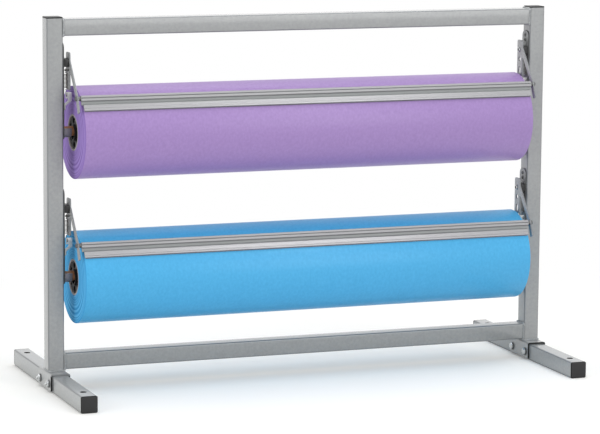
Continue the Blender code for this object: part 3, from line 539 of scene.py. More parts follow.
@dataclass
class Surface:
    """Points and faces of one or more closed shells, before they become an object."""

    points: np.ndarray
    quads: np.ndarray
    ends: list[np.ndarray] = field(default_factory=list)

    def __add__(self, other: "Surface") -> "Surface":
        """Puts two surfaces in one."""
        shift = len(self.points)
        return Surface(np.vstack([self.points, other.points]),
                       np.vstack([self.quads, other.quads + shift]),
                       self.ends + [end + shift for end in other.ends])

    def piece(self, name: str, edge: float = 0.0, sharp: float = SHARP) -> Object:
        """Makes the object: normals outwards, smooth between sharp edges, edges eased.

        Args:
            name: the piece's name.
            edge: the width that sharp edges are rounded to, or 0.
            sharp: the angle past which an edge stays sharp.

        Returns:
            The object, at the origin.
        """
        mesh = bpy.data.meshes.new(name)
        faces = self.quads.tolist() + [end.tolist() for end in self.ends]
        mesh.from_pydata(self.points.tolist(), [], faces)
        made = linked(name, mesh)
        outwards(mesh)
        ease(made, edge, sharp)
        return made


def joined(parts: Iterable[Surface]) -> Surface:
    """Puts several surfaces in one."""
    return reduce(Surface.__add__, parts)


def linked(name: str, data: bpy.types.ID) -> Object:
    """Makes an object and puts it in the scene.

    Args:
        name: its name.
        data: its mesh, curve, camera or light.

    Returns:
        The object.
    """
    made = bpy.data.objects.new(name, data)
    bpy.context.scene.collection.objects.link(made)
    return made


@contextmanager
def edited(mesh: Mesh) -> Iterator[bmesh.types.BMesh]:
    """Opens a mesh for changes and writes them back.

    Args:
        mesh: the mesh.

    Yields:
        Its form that can be changed.
    """
    bm = bmesh.new()
    bm.from_mesh(mesh)
    yield bm
    bm.to_mesh(mesh)
    bm.free()


def outwards(mesh: Mesh) -> None:
    """Merges doubles and points the faces of every closed shell outwards.

    Args:
        mesh: the mesh.
    """
    with edited(mesh) as bm:
        bmesh.ops.remove_doubles(bm, verts=bm.verts, dist=MERGE)
        bmesh.ops.recalc_face_normals(bm, faces=bm.faces)


def cut_up(mesh: Mesh) -> None:
    """Splits the faces of many corners to triangles, so that parts of them can be dressed."""
    with edited(mesh) as bm:
        bmesh.ops.triangulate(bm, faces=[face for face in bm.faces if len(face.verts) > 4])


def ease(piece: Object, edge: float, sharp: float = SHARP) -> None:
    """Shades a piece smooth between its sharp edges and rounds those edges.

    Args:
        piece: the piece.
        edge: the width of the rounding, or 0 for none.
        sharp: the angle past which an edge is sharp.
    """
    piece.data.shade_smooth()
    if edge:
        rounding = piece.modifiers.new("eased edges", "BEVEL")
        rounding.width, rounding.segments = edge, 2
        rounding.limit_method, rounding.angle_limit = "ANGLE", sharp
    else:
        piece.data.set_sharp_from_angle(angle=sharp)


def baked(piece: Object) -> Object:
    """Swaps an object for a mesh of what it shows, with its modifiers applied.

    Args:
        piece: a curve, or a mesh with modifiers; it is removed.

    Returns:
        The new mesh object under the same name.
    """
    shown = piece.evaluated_get(bpy.context.evaluated_depsgraph_get())
    mesh = bpy.data.meshes.new_from_object(shown)
    mesh.transform(piece.matrix_world)
    name = piece.name
    bpy.data.objects.remove(piece, do_unlink=True)
    mesh.name = name
    return linked(name, mesh)


def rounded(corners: Sequence[Triple], steps: int = 6) -> np.ndarray:
    """An outline whose corners are arcs.

    At a corner P with unit ways b to the last corner and a to the next, and h half the angle
    between them, the arc of radius r has its centre at P + (a + b) / |a + b| * r / sin h and runs
    from P + b * r / tan h to P + a * r / tan h. Its spokes are blended over the angle pi - 2 h.

    Args:
        corners: u, v and radius of each corner.
        steps: the arc's segments.

    Returns:
        The outline's points, one row each.
    """
    table = np.array(corners, float)
    here, radius = table[:, :2], table[:, 2:]
    back = np.roll(here, 1, axis=0) - here
    ahead = np.roll(here, -1, axis=0) - here
    back /= np.linalg.norm(back, axis=1, keepdims=True)
    ahead /= np.linalg.norm(ahead, axis=1, keepdims=True)
    half = np.arccos(np.clip((back * ahead).sum(axis=1, keepdims=True), -1, 1)) / 2
    middle = back + ahead
    middle /= np.maximum(np.linalg.norm(middle, axis=1, keepdims=True), LEAST_LENGTH)
    centre = here + middle * radius / np.sin(half)
    first = here + back * radius / np.tan(half) - centre
    last = here + ahead * radius / np.tan(half) - centre
    sweep = np.maximum(math.pi - 2 * half, LEAST_TURN)[:, None]
    share = np.linspace(0, 1, steps + 1)[None, :, None]
    spokes = (np.sin((1 - share) * sweep) * first[:, None]
              + np.sin(share * sweep) * last[:, None]) / np.sin(sweep)
    points = (centre[:, None] + spokes).reshape(-1, 2)
    step = np.linalg.norm(points - np.roll(points, 1, axis=0), axis=1)
    return points[step > LEAST_STEP]


def rounded_box(half_u: float, half_v: float, radius: float, steps: int = 6) -> np.ndarray:
    """A rectangle about zero with rounded corners."""
    return rounded([(half_u, half_v, radius), (-half_u, half_v, radius),
                    (-half_u, -half_v, radius), (half_u, -half_v, radius)], steps)


def square(inwards: float = 0.0) -> np.ndarray:
    """The square tubes' outline, or one that lies inwards from it."""
    half, corner = RACK.half_tube - inwards, RACK.tube_corner
    return rounded_box(half, half, max(corner - inwards, corner * LEAST_CORNER), BEND_STEPS)


def polar(centre: Pair, radius: float | np.ndarray, angle: np.ndarray) -> np.ndarray:
    """Points centre + radius (cos angle, sin angle)."""
    return np.stack([centre[0] + radius * np.cos(angle),
                     centre[1] + radius * np.sin(angle)], axis=1)


def arc(centre: Pair, radius: float, start: float, end: float, steps: int) -> np.ndarray:
    """Points of an arc from one angle to another, both included."""
    return polar(centre, radius, np.linspace(start, end, steps + 1))


def circle(centre: Pair, radius: float, steps: int = 48) -> np.ndarray:
    """Points once round a circle."""
    return arc(centre, radius, 0.0, TAU, steps)[:-1]


def hexagon(centre: Pair, flats: float, steps: int = 48) -> np.ndarray:
    """A hexagon sampled as finely as a circle: its radius at angle a is (flats / 2) / cos(a'), with
    a' the angle from the nearest flat's middle.

    Args:
        centre: its middle.
        flats: its width from flat to flat.
        steps: its points.

    Returns:
        The points.
    """
    angle = np.linspace(0, TAU, steps, endpoint=False)
    off = (angle + math.pi / 6) % (math.pi / 3) - math.pi / 6
    return polar(centre, flats / 2 / np.cos(off), angle)


def loft(rings: np.ndarray, closed: bool = False) -> Surface:
    """Joins rings of equal length by quads: point j of ring i is joined to point j of ring i + 1.

    Args:
        rings: an array of rings, points and coordinates.
        closed: whether the last ring joins the first, as on a tube with a bore.

    Returns:
        The surface, with its two ends filled unless it is closed.
    """
    count, around = rings.shape[:2]
    index = np.arange(count * around).reshape(count, around)
    here = index if closed else index[:-1]
    there = np.roll(index, -1, axis=0) if closed else index[1:]
    quads = np.stack([here, np.roll(here, -1, axis=1), np.roll(there, -1, axis=1), there], axis=-1)
    ends = [] if closed else [index[0], index[-1]]
    return Surface(rings.reshape(-1, 3), quads.reshape(-1, 4), ends)


def stacked(rings: Iterable[tuple[np.ndarray, float]], along: Along = Along.X,
            shift: Pair = (0.0, 0.0), closed: bool = False) -> Surface:
    """Joins outlines that lie one after the other along an axis, each point (u, v) to its fellow.

    Args:
        rings: each outline with its station on the axis.
        along: the axis.
        shift: what is added to u and v.
        closed: whether the last outline joins the first.

    Returns:
        The surface.
    """
    return loft(np.array([along.place(ring[:, 0] + shift[0], ring[:, 1] + shift[1], station)
                          for ring, station in rings]), closed)


def carried(outline: np.ndarray, stations: Sequence[float], along: Along = Along.X,
            shift: Pair = (0.0, 0.0)) -> Surface:
    """A profile carried straight along an axis: point (u, v) of the outline at each station."""
    return stacked([(outline, station) for station in stations], along, shift)


def turned(profile: Sequence[Pair], centre: Pair,
           along: Along = Along.X, closed: bool = False, facets: int = 40) -> Surface:
    """A profile of (distance, radius) turned about an axis: at angle a its point is centre +
    radius (cos a, sin a), at its distance along the axis.

    Args:
        profile: distances along the axis and radii.
        centre: where the axis crosses the profile plane.
        along: the axis.
        closed: whether the profile closes on itself, as for a ring.
        facets: the number of segments round it.

    Returns:
        The surface.
    """
    table = np.array(profile, float)
    angle = np.linspace(0, TAU, facets, endpoint=False)[None]
    radius = table[:, 1:2]
    return loft(along.place(centre[0] + radius * np.cos(angle), centre[1] + radius * np.sin(angle),
                            table[:, 0:1]), closed)


def curve_mesh(name: str, lines: Iterable[np.ndarray], cyclic: bool, **settings: object) -> Object:
    """Runs a curve through points and makes what it shows a mesh.

    Args:
        name: the object's name.
        lines: the points of each line, one row each.
        cyclic: whether each line joins its own start.
        settings: attributes of the curve.

    Returns:
        The mesh object.
    """
    curve = bpy.data.curves.new(name, "CURVE")
    for key, value in settings.items():
        setattr(curve, key, value)
    for line in lines:
        spline = curve.splines.new("POLY")
        spline.points.add(len(line) - 1)
        spline.points.foreach_set("co", np.column_stack([line, np.ones(len(line))]).ravel())
        spline.use_cyclic_u = cyclic
    return baked(linked(name, curve))


def plate(name: str, loops: Sequence[np.ndarray], start: float, end: float,
          edge: float = EDGE) -> Object:
    """A flat plate across X with holes and eased rims, filled by a flat curve and made a mesh.

    Args:
        name: the piece's name.
        loops: the outline first, then the holes.
        start: X of the plate's first face.
        end: X of its second face.
        edge: how much the rims are eased.

    Returns:
        The plate as a mesh object.
    """
    made = curve_mesh(name, [np.column_stack([loop, np.zeros(len(loop))]) for loop in loops], True,
                      dimensions="2D", fill_mode="BOTH", extrude=abs(end - start) / 2 - edge,
                      bevel_depth=edge, bevel_resolution=1, offset=-edge)
    local = np.empty(len(made.data.vertices) * 3)
    made.data.vertices.foreach_get("co", local)
    local = local.reshape(-1, 3)
    placed = Along.X.place(local[:, 0], local[:, 1], local[:, 2] + (start + end) / 2)
    made.data.vertices.foreach_set("co", placed.ravel())
    outwards(made.data)
    ease(made, 0.0, PLATE_SHARP)
    return made


def copy_of(node: str, name: str, edge: float) -> Object:
    """A merged copy of a CAD node's mesh with its edges eased.

    Args:
        node: the CAD node.
        name: the piece's name.
        edge: how much its edges are eased.

    Returns:
        The new piece.
    """
    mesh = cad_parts[node].data.copy()
    mesh.materials.clear()
    with edited(mesh) as bm:
        bmesh.ops.remove_doubles(bm, verts=bm.verts, dist=CAD_MERGE)
        bmesh.ops.dissolve_limit(bm, angle_limit=FLAT, verts=bm.verts, edges=bm.edges)
    made = linked(name, mesh)
    ease(made, edge)
    return made


def dress(piece: Object, finish: Finish) -> None:
    """Gives a piece its finish and reports it.

    Args:
        piece: the piece.
        finish: its finish.
    """
    piece.data.materials.clear()
    piece.data.materials.append(finish.material())
    LOG.info("%s: %s, %d faces", piece.name, finish.name, len(piece.data.polygons))


def fit(piece: Object, finish: Finish, body: str, *nodes: str) -> Object:
    """Dresses a piece, lets it ride on its body and hides the CAD nodes it stands for.

    Args:
        piece: the finished piece, at the origin.
        finish: its finish.
        body: the CAD body that it moves with.
        nodes: CAD nodes that it replaces.

    Returns:
        The piece.
    """
    dress(piece, finish)
    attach(piece, body)
    if nodes:
        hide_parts(*nodes)
    return piece


def faces_of(piece: Object) -> tuple[np.ndarray, np.ndarray]:
    """Measures a piece's faces.

    Args:
        piece: the piece.

    Returns:
        Their middles and their normals, one row each.
    """
    faces = piece.data.polygons
    table = np.empty((2, len(faces) * 3))
    faces.foreach_get("center", table[0])
    faces.foreach_get("normal", table[1])
    return table[0].reshape(-1, 3), table[1].reshape(-1, 3)


def looks(piece: Object, *axes: int) -> np.ndarray:
    """How far each face looks along an axis, from 0 to 1; the least of it for several axes."""
    return np.abs(faces_of(piece)[1][:, list(axes)]).min(axis=1)


def dress_some(piece: Object, finish: Finish, chosen: np.ndarray) -> None:
    """Gives some faces of a piece another finish.

    Args:
        piece: the piece, which already has its first finish.
        finish: the other finish.
        chosen: true for each face that gets it.
    """
    piece.data.materials.append(finish.material())
    kinds = np.empty(len(piece.data.polygons), np.int32)
    piece.data.polygons.foreach_get("material_index", kinds)
    kinds[chosen] = len(piece.data.materials) - 1
    piece.data.polygons.foreach_set("material_index", kinds)
    piece.data.update()


def end_cap(stem: str, start: float, away: int, height: float, easing: float, along: Along,
            centre: Pair) -> None:
    """Builds the cap on a tube's end: its flat face matt black, its rim deeper black as painted
    shade.

    Its rings are the tube's outline, pulled in by easing (1 - cos t) at the height of the rim less
    easing (1 - sin t), with t from 0 to a right angle, so the rim is a quarter circle. Two more
    rings further in, each a little higher, dome the face slightly.

    Args:
        stem: the start of the names of the piece and of the CAD node.
        start: the tube's end along the axis.
        away: 1 or -1, the way the cap looks.
        height: how high it stands.
        easing: the radius of its rim.
        along: the tube's axis.
        centre: the tube's middle in the profile plane.
    """
    rim, *dome = (height - drop for drop in CAP_DROPS)
    turn = np.linspace(0, math.pi / 2, CAP_POINTS)
    pulled = np.concatenate([[0.0], easing * (1 - np.cos(turn)),
                             RACK.half_tube * np.array(CAP_RINGS)])
    rise = np.concatenate([[0.0], rim - easing * (1 - np.sin(turn)), dome])
    cap = stacked([(square(inwards), start + away * up) for inwards, up in zip(pulled, rise)],
                  along, centre)
    piece = fit(cap.piece(stem + "_end_cap"), MOULDED, "frame", stem + "_cap")
    # The cap's rim is deeper black: painted shade.
    dress_some(piece, MOULDED_RIM, looks(piece, "xyz".index(along.value)) < END_LEAN)


@dataclass(frozen=True)
class WeldBead:
    """A weld bead round a tube's end, where it is joined to another piece."""

    radius: float = 1.9 * MM
    step: float = 0.5 * MM
    ripple_length: float = 2.4 * MM
    ripple: float = 0.24
    wander: float = 0.08

    def build(self, name: str, station: float, along: Along, shift: Pair) -> None:
        """A small tube carried round the outline, its radius rippling as the puddles freeze: at
        phase p of its way round it is radius (1 + ripple sin(n p) + wander sin(5 p + 1)).

        Args:
            name: the piece's name.
            station: where along the axis the bead lies.
            along: the tube's axis.
            shift: the outline's middle.
        """
        outline = square()
        closed = np.vstack([outline, outline[:1]])
        length = np.concatenate([[0.0], np.cumsum(np.linalg.norm(np.diff(closed, axis=0), axis=1))])
        where = np.linspace(0, length[-1], int(length[-1] / self.step), endpoint=False)
        path = np.stack([np.interp(where, length, closed[:, i]) for i in (0, 1)], axis=1)
        way = np.roll(path, -1, axis=0) - np.roll(path, 1, axis=0)
        way /= np.linalg.norm(way, axis=1, keepdims=True)
        phase, count = TAU * where / length[-1], round(length[-1] / self.ripple_length)
        size = self.radius * (1 + self.ripple * np.sin(count * phase)
                              + self.wander * np.sin(5 * phase + 1.0))[:, None]
        around = np.linspace(0, TAU, BEAD_FACETS, endpoint=False)[None]
        out, up = size * np.cos(around), size * np.sin(around)
        bead = loft(along.place(path[:, 0:1] + way[:, 1:2] * out + shift[0],
                                path[:, 1:2] - way[:, 0:1] * out + shift[1], station + up), True)
        # The bead's paler coat is a painted highlight.
        fit(bead.piece(name), WELDED, "frame")


BEAD = WeldBead()


@dataclass
class Frame:
    """The welded frame: uprights with their caps, and the two rails."""

    bottom_rail_underside: float = 38.0 * MM
    top_rail_drop: float = 1.5 * MM
    cap_height: float = 2.3 * MM
    cap_easing: float = 0.8 * MM
    upright_bead_lift: float = 0.6 * MM
    rail_bead_inset: float = 0.8 * MM

    def build(self) -> None:
        """Builds and dresses every piece of the frame."""
        for side in Side:
            self.upright(side)
        top = RACK.steel_height - self.top_rail_drop - RACK.half_tube
        self.rail("top_rail", top, ENAMEL)
        # The lower rail takes the darker coat: painted shade low down.
        self.rail("bottom_rail", self.bottom_rail_underside + RACK.half_tube, DULLED_ENAMEL)

    def upright(self, side: Side) -> None:
        """One upright, with its cap and the bead that joins it to the saddle.

        Args:
            side: the upright's side.
        """
        stem, centre = side.word + "_upright", (side.value * RACK.upright_centre, 0.0)
        tube = carried(square(), (RACK.saddle_top, RACK.steel_height), Along.Z, centre)
        piece = fit(tube.piece(stem + "_tube"), ENAMEL, "frame", stem)
        # The rounded corners are darker: painted shade.
        dress_some(piece, THIN_COAT, looks(piece, 0, 1) > CORNER_LEAN)
        end_cap(stem, RACK.steel_height, 1, RACK.touch + self.cap_height, self.cap_easing, Along.Z,
                centre)
        BEAD.build(stem + "_weld", RACK.saddle_top + self.upright_bead_lift, Along.Z, centre)

    def rail(self, name: str, height: float, coat: Finish) -> None:
        """One rail, with the beads at its two ends.

        Args:
            name: its CAD node.
            height: the height of its middle.
            coat: its finish.
        """
        tube = carried(square(), (-RACK.half_clear, RACK.half_clear), shift=(0.0, height))
        piece = fit(tube.piece(name + "_tube"), coat, "frame", name)
        # The rounded corners are darker: painted shade.
        dress_some(piece, THIN_COAT, looks(piece, 1, 2) > CORNER_LEAN)
        for side in Side:
            BEAD.build(f"{name}_{side.word}_weld", side.inset(self.rail_bead_inset), Along.X,
                       (0.0, height))


@dataclass
class Foot:
    """One foot: tube, end caps, saddle and the saddle's bolts."""

    side: Side
    length: float = 464.0 * MM
    cap_thickness: float = 3.0 * MM
    cap_easing: float = 1.0 * MM
    hole_inset: float = 37.0 * MM
    top_hole: float = 6.3 * MM
    floor_hole: float = 4.0 * MM
    drill_overrun: float = 2.0 * MM
    drill_stop: float = 1.0 * MM
    saddle_length: float = 84.0 * MM
    saddle_thickness: float = 3.0 * MM
    saddle_floor_gap: float = 3.0 * MM
    saddle_bend: float = 4.0 * MM
    bolt_reach: float = 30.0 * MM
    bolt_radius: float = 3.0 * MM
    flats: float = 12.0 * MM
    head_height: float = 5.0 * MM
    stub: float = 3.0 * MM
    stub_chamfer: float = 0.5 * MM
    stub_taper: float = 0.8
    head_shares: tuple[Pair, ...] = ((0.0, 1.0), (0.75, 1.0), (1.0, 0.86))
    washer_thickness: float = 0.9 * MM
    washer_radius: float = 7.68 * MM

    @property
    def centre(self) -> Pair:
        """The tube's middle in the front view."""
        return (self.side.value * RACK.upright_centre, RACK.half_tube)

    def build(self) -> None:
        """Builds and dresses the foot's pieces."""
        self.tube()
        for word, away in (("front", 1), ("rear", -1)):
            end_cap(f"{self.side.word}_{word}_foot", away * self.length / 2, away,
                    self.cap_thickness + RACK.touch, self.cap_easing, Along.Y, self.centre)
            self.bolt(f"{self.side.word}_{word}_saddle", away * self.bolt_reach)
        self.saddle()

    def tube(self) -> None:
        """The hollow tube: two outlines joined at both ends, drilled by cylinders."""
        half, middle = self.length / 2, RACK.half_tube
        outer, inner = square(), square(RACK.tube_wall)
        tube = stacked([(outer, -half), (outer, half), (inner, half), (inner, -half)], Along.Y,
                       self.centre, closed=True).piece(f"{self.side.word}_foot_tube")
        reach = half - self.hole_inset
        tool = joined(turned([(low, radius), (high, radius)], (self.centre[0], forward), Along.Z)
                      for forward in (reach, -reach)
                      for radius, low, high in (
                          (self.top_hole, middle, 2 * middle + self.drill_overrun),
                          (self.floor_hole, -self.drill_overrun, middle - self.drill_stop))
                      ).piece("drills")
        cut = tube.modifiers.new("drilled", "BOOLEAN")
        cut.operation, cut.solver, cut.object = "DIFFERENCE", "EXACT", tool
        tube = baked(tube)
        bpy.data.objects.remove(tool, do_unlink=True)
        ease(tube, 0.0)
        # The foot takes the darker coat: painted shade low down.
        fit(tube, DULLED_ENAMEL, "frame", f"{self.side.word}_foot")
        middles, normals = faces_of(tube)
        corners = looks(tube, 0, 2) > CORNER_LEAN
        # The foot's upper corners are darker: painted shade.
        dress_some(tube, THIN_COAT, corners & (normals[:, 2] > 0))
        # The foot's lower corners are near black: painted contact shadow.
        dress_some(tube, GREASED_RIM, corners & (normals[:, 2] < 0))
        off = np.abs(middles[:, [0, 2]] - np.array(self.centre)).max(axis=1)
        beside = np.hypot(middles[:, 0] - self.centre[0], np.abs(middles[:, 1]) - reach)
        # The tube's inside and the holes' walls are near black: painted shade.
        dress_some(tube, BARE, (off < middle - RACK.tube_wall + 2 * SLACK)
                   | (beside < self.top_hole + 4 * SLACK) & (looks(tube, 2) < CORNER_LEAN))

    def saddle(self) -> None:
        """The bent channel, its end faces darkened as painted shade of the gap at its ends."""
        inner, floor, bend = RACK.half_tube + RACK.touch, self.saddle_floor_gap, self.saddle_bend
        outer, inner_bend = inner + self.saddle_thickness, bend - self.saddle_thickness
        roof = 2 * RACK.half_tube + RACK.touch
        top = roof + self.saddle_thickness
        outline = rounded([(-outer, floor, 0), (-outer, top, bend), (outer, top, bend),
                           (outer, floor, 0), (inner, floor, 0), (inner, roof, inner_bend),
                           (-inner, roof, inner_bend), (-inner, floor, 0)], BEND_STEPS)
        half = self.saddle_length / 2
        channel = carried(outline, (-half, half), Along.Y, (self.centre[0], 0.0))
        piece = channel.piece(f"{self.side.word}_foot_saddle")
        cut_up(piece.data)
        fit(piece, ENAMEL, "frame", f"{self.side.word}_saddle")
        ends = looks(piece, 1) > END_LEAN
        low = faces_of(piece)[0][:, 2] < roof - self.saddle_thickness
        # The saddle's end faces are painted shade: black low down, and on the right saddle over the
        # top too; the left saddle's top end takes the darker corner coat.
        dress_some(piece, SHEARED, ends & low)
        dress_some(piece, SHEARED if self.side is Side.RIGHT else THIN_COAT, ends & ~low)

    def bolt(self, stem: str, forward: float) -> None:
        """One bolt through saddle and foot: chamfered hexagons, washers, shank and thread end.

        Args:
            stem: the start of its pieces' names.
            forward: its place along the foot.
        """
        place = (forward, self.centre[1])
        face = RACK.half_tube + 2 * RACK.touch + self.saddle_thickness
        bolt, washers = [], []
        for away in (-self.side.value, self.side.value):
            base = self.centre[0] + away * face
            bolt.append(stacked([(hexagon(place, self.flats * width),
                                  base + away * self.head_height * rise)
                                 for rise, width in self.head_shares]))
            washers.append(turned([(base, self.washer_radius),
                                   (base + away * self.washer_thickness, self.washer_radius)],
                                  place))
        tip = base + away * (self.head_height + self.stub)
        bolt.append(turned([(base, self.bolt_radius),
                            (tip - away * self.stub_chamfer, self.bolt_radius),
                            (tip, self.bolt_radius * self.stub_taper)], place))
        fit(joined(bolt).piece(stem + "_fastener", edge=FINE_EDGE), ZINC, "frame", stem + "_bolt")
        # The washers are dark grey: painted shade under the heads.
        fit(joined(washers).piece(stem + "_washers"), DULL_ZINC, "frame")


@dataclass
class Station:
    """The fixed pieces of one side of one deck, on the upright's inner face."""

    side: Side
    deck: Deck
    plate_half: float = 14.0 * MM
    plate_top: float = 38.0 * MM
    plate_top_round: float = 11.0 * MM
    plate_foot_round: float = 5.0 * MM
    plate_below: float = 13.5 * MM
    screw_rises: Pair = (29.0 * MM, 20.0 * MM)
    low_screw_rise: float = 28.4 * MM
    screw_radius: float = 3.4 * MM
    screw_height: float = 2.0 * MM
    seat_length: float = 15.0 * MM
    seat_thickness: float = 2.0 * MM
    seat_front: float = 6.5 * MM
    seat_lip: float = math.radians(40.0)
    grease_drop: float = 9.0 * MM
    head_radius: float = 5.0 * MM
    head_top_radius: float = 4.4 * MM
    head_chamfer_rise: float = 1.7 * MM
    head_rise: float = 2.2 * MM
    socket: float = 5.6 * MM
    socket_rise: float = 0.8 * MM
    shank_radius: float = 3.0 * MM
    shank_insets: Pair = (0.4 * MM, -6.0 * MM)

    @property
    def name(self) -> str:
        """The start of the pieces' names."""
        return self.deck.at(self.side)

    def build(self) -> None:
        """Builds and dresses the fixed pieces."""
        self.side_plate()
        self.seat()
        anchor = copy_of(self.name + "_spring_anchor", self.name + "_anchor_strap", EDGE)
        # The strap's paler coat is painted light.
        fit(anchor, PALE_ENAMEL, "frame", self.name + "_spring_anchor")
        self.pivot_bolt()

    def side_plate(self) -> None:
        """The plate and its three screws."""
        pivot, half = self.deck.pivot, self.plate_half
        top, bottom = pivot + self.plate_top, self.deck.shaft - self.plate_below
        outline = rounded([(half, top, self.plate_top_round), (-half, top, self.plate_top_round),
                           (-half, bottom, self.plate_foot_round),
                           (half, bottom, self.plate_foot_round)], PLATE_STEPS)
        made = plate(self.name + "_plate", [outline], self.side.inset(RACK.touch),
                     self.side.inset(RACK.plate_inner))
        # Zinc-flake coat on pressed sheet: a duller grey, with a dark band of painted shade below
        # the pivot block.
        sheet = RubbedSheet(self.deck.word + "_greased_sheet", "silver_enamel", "A6A8A8", "8A8C8C",
                            roughness=0.42, metallic=0.3, cloud_mm=4.0, cloud_share=1.0,
                            grain_mm=0.8, grain_height_mm=0.015, height=pivot - self.grease_drop)
        fit(made, sheet, "frame", self.name + "_side_plate")
        # The plate's rims are near black: painted shade along its edges.
        dress_some(made, GREASED_RIM, looks(made, 0) < RIM_LEAN)
        heights = [*(pivot + rise for rise in self.screw_rises),
                   self.deck.value + self.low_screw_rise]
        # The screws are dark grey: painted shade round their heads.
        fit(joined(map(self.screw, heights)).piece(self.name + "_plate_screws"), DULL_ZINC, "frame")

    def screw(self, height: float) -> Surface:
        """A pan head with a round drive recess, turned from shares of its height and radius.

        Args:
            height: the height of its axis.

        Returns:
            The surface.
        """
        shares = [(-0.3, 1.0), (0.45, 1.0), (0.75, 0.9), (0.93, 0.72), (1.0, 0.5), (1.0, 0.36),
                  (0.45, 0.22)]
        return turned([(self.side.inset(RACK.plate_inner + self.screw_height * up),
                        self.screw_radius * out) for up, out in shares], (0.0, height), facets=28)

    def seat(self) -> None:
        """The hooked seat: front wall, round bottom, low lip behind."""
        inner = RACK.shaft_radius + RACK.touch
        outer = inner + self.seat_thickness
        height, lip = self.deck.shaft, -math.pi + self.seat_lip
        outline = np.vstack([[(outer, height + self.seat_front)],
                             arc((0.0, height), outer, 0.0, lip, SEAT_STEPS),
                             arc((0.0, height), inner, lip, 0.0, SEAT_STEPS),
                             [(inner, height + self.seat_front)]])
        start = RACK.plate_inner + RACK.touch
        seat = carried(outline, (self.side.inset(start), self.side.inset(start + self.seat_length)))
        fit(seat.piece(self.name + "_seat", edge=EDGE), GREY_STEEL, "frame",
            self.name + "_shaft_seat")

    def pivot_bolt(self) -> None:
        """The socket-headed bolt: a round head whose top steps down into a hexagonal recess."""
        place = (0.0, self.deck.pivot)
        base = RACK.lever_inner + RACK.touch
        tip, skirt = base + self.head_rise, circle(place, self.head_radius)
        recess = hexagon(place, self.socket)
        rings = [(skirt, base), (skirt, base + self.head_chamfer_rise),
                 (circle(place, self.head_top_radius), tip), (recess, tip),
                 (recess, base + self.socket_rise)]
        head = stacked([(ring, self.side.inset(out)) for ring, out in rings])
        start, end = self.shank_insets
        shank = turned([(self.side.inset(base + start), self.shank_radius),
                        (self.side.inset(end), self.shank_radius)], place)
        piece = fit((head + shank).piece(self.name + "_socket_bolt"), ZINC, "frame",
                    self.name + "_pivot_bolt")
        middles = faces_of(piece)[0]
        off = np.hypot(middles[:, 1], middles[:, 2] - self.deck.pivot)
        proud = RACK.half_clear - np.abs(middles[:, 0])
        # The socket's faces are near black: painted shade in the recess.
        dress_some(piece, GREASED, (off < self.socket / 2 + SLACK) & (np.abs(proud - tip) > SLACK))


@dataclass
class TensionSpring:
    """The spring between the lever's pin and the anchor, one wire from hook to hook."""

    side: Side
    deck: Deck
    wire_radius: float = 0.55 * MM
    coil_radius: float = 3.0 * MM
    inset: float = 6.5 * MM
    forward: float = 11.0 * MM
    turns: int = 11
    top_drop: float = 20.5 * MM
    bottom_drop: float = 47.5 * MM
    lead: float = 3.2 * MM
    pin_drop: float = 13.5 * MM
    upper_loop: float = 2.95 * MM
    lower_loop: float = 3.4 * MM
    lower_drop: float = 58.7 * MM
    held_drops: Pair = (54.0 * MM, 17.0 * MM)
    upper_sweep: Pair = (-20.0, 270.0)
    lower_sweep: Pair = (180.0, 404.0)
    upper_points: int = 36
    lower_points: int = 30
    turn_steps: int = 24

    def route(self) -> np.ndarray:
        """The wire's middle line.

        The upper hook is an arc round the pin. Along the body the angle grows evenly and the drop
        with it, and over a half turn at each end the radius falls to 0 as a cosine while the drop
        goes on by the lead. The lower hook is an arc through the anchor's slot.

        Returns:
            The points from the upper hook to the lower one.
        """
        upper = polar((self.forward, -self.pin_drop), self.upper_loop,
                      np.radians(np.linspace(*self.upper_sweep, self.upper_points)))
        lower = polar((self.forward + self.lower_loop, -self.lower_drop), self.lower_loop,
                      np.radians(np.linspace(*self.lower_sweep, self.lower_points)))
        share = np.linspace(-0.5, self.turns + 0.5, (self.turns + 1) * self.turn_steps + 1)
        within = np.clip(share / self.turns, 0, 1)
        beyond = np.maximum(np.maximum(-share, share - self.turns), 0) / 0.5
        radius = self.coil_radius * np.cos(beyond * math.pi / 2)
        drop = (self.top_drop + (self.bottom_drop - self.top_drop) * within
                + np.sign(share) * self.lead * beyond)
        coil = np.stack([self.forward + radius * np.sin(TAU * share), -drop], axis=1)
        beside = np.concatenate([np.zeros(len(upper)), radius * np.cos(TAU * share),
                                 np.zeros(len(lower))])
        line = np.vstack([upper, coil, lower])
        return Along.X.place(line[:, 0], self.deck.pivot + line[:, 1],
                             self.side.inset(self.inset) + beside)

    def build(self) -> None:
        """Builds the wire."""
        name = self.deck.at(self.side)
        piece = curve_mesh(name + "_spring_wire", [self.route()], False, dimensions="3D",
                           bevel_depth=self.wire_radius, bevel_resolution=3, use_fill_caps=True)
        piece.data.shade_smooth()
        dress(piece, MUSIC_WIRE)
        low, high = ((self.side.inset(self.inset), -self.forward, self.deck.pivot - drop)
                     for drop in self.held_drops)
        self.deck.word + "_cutter"
        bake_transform(piece)
        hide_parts(name + "_spring")


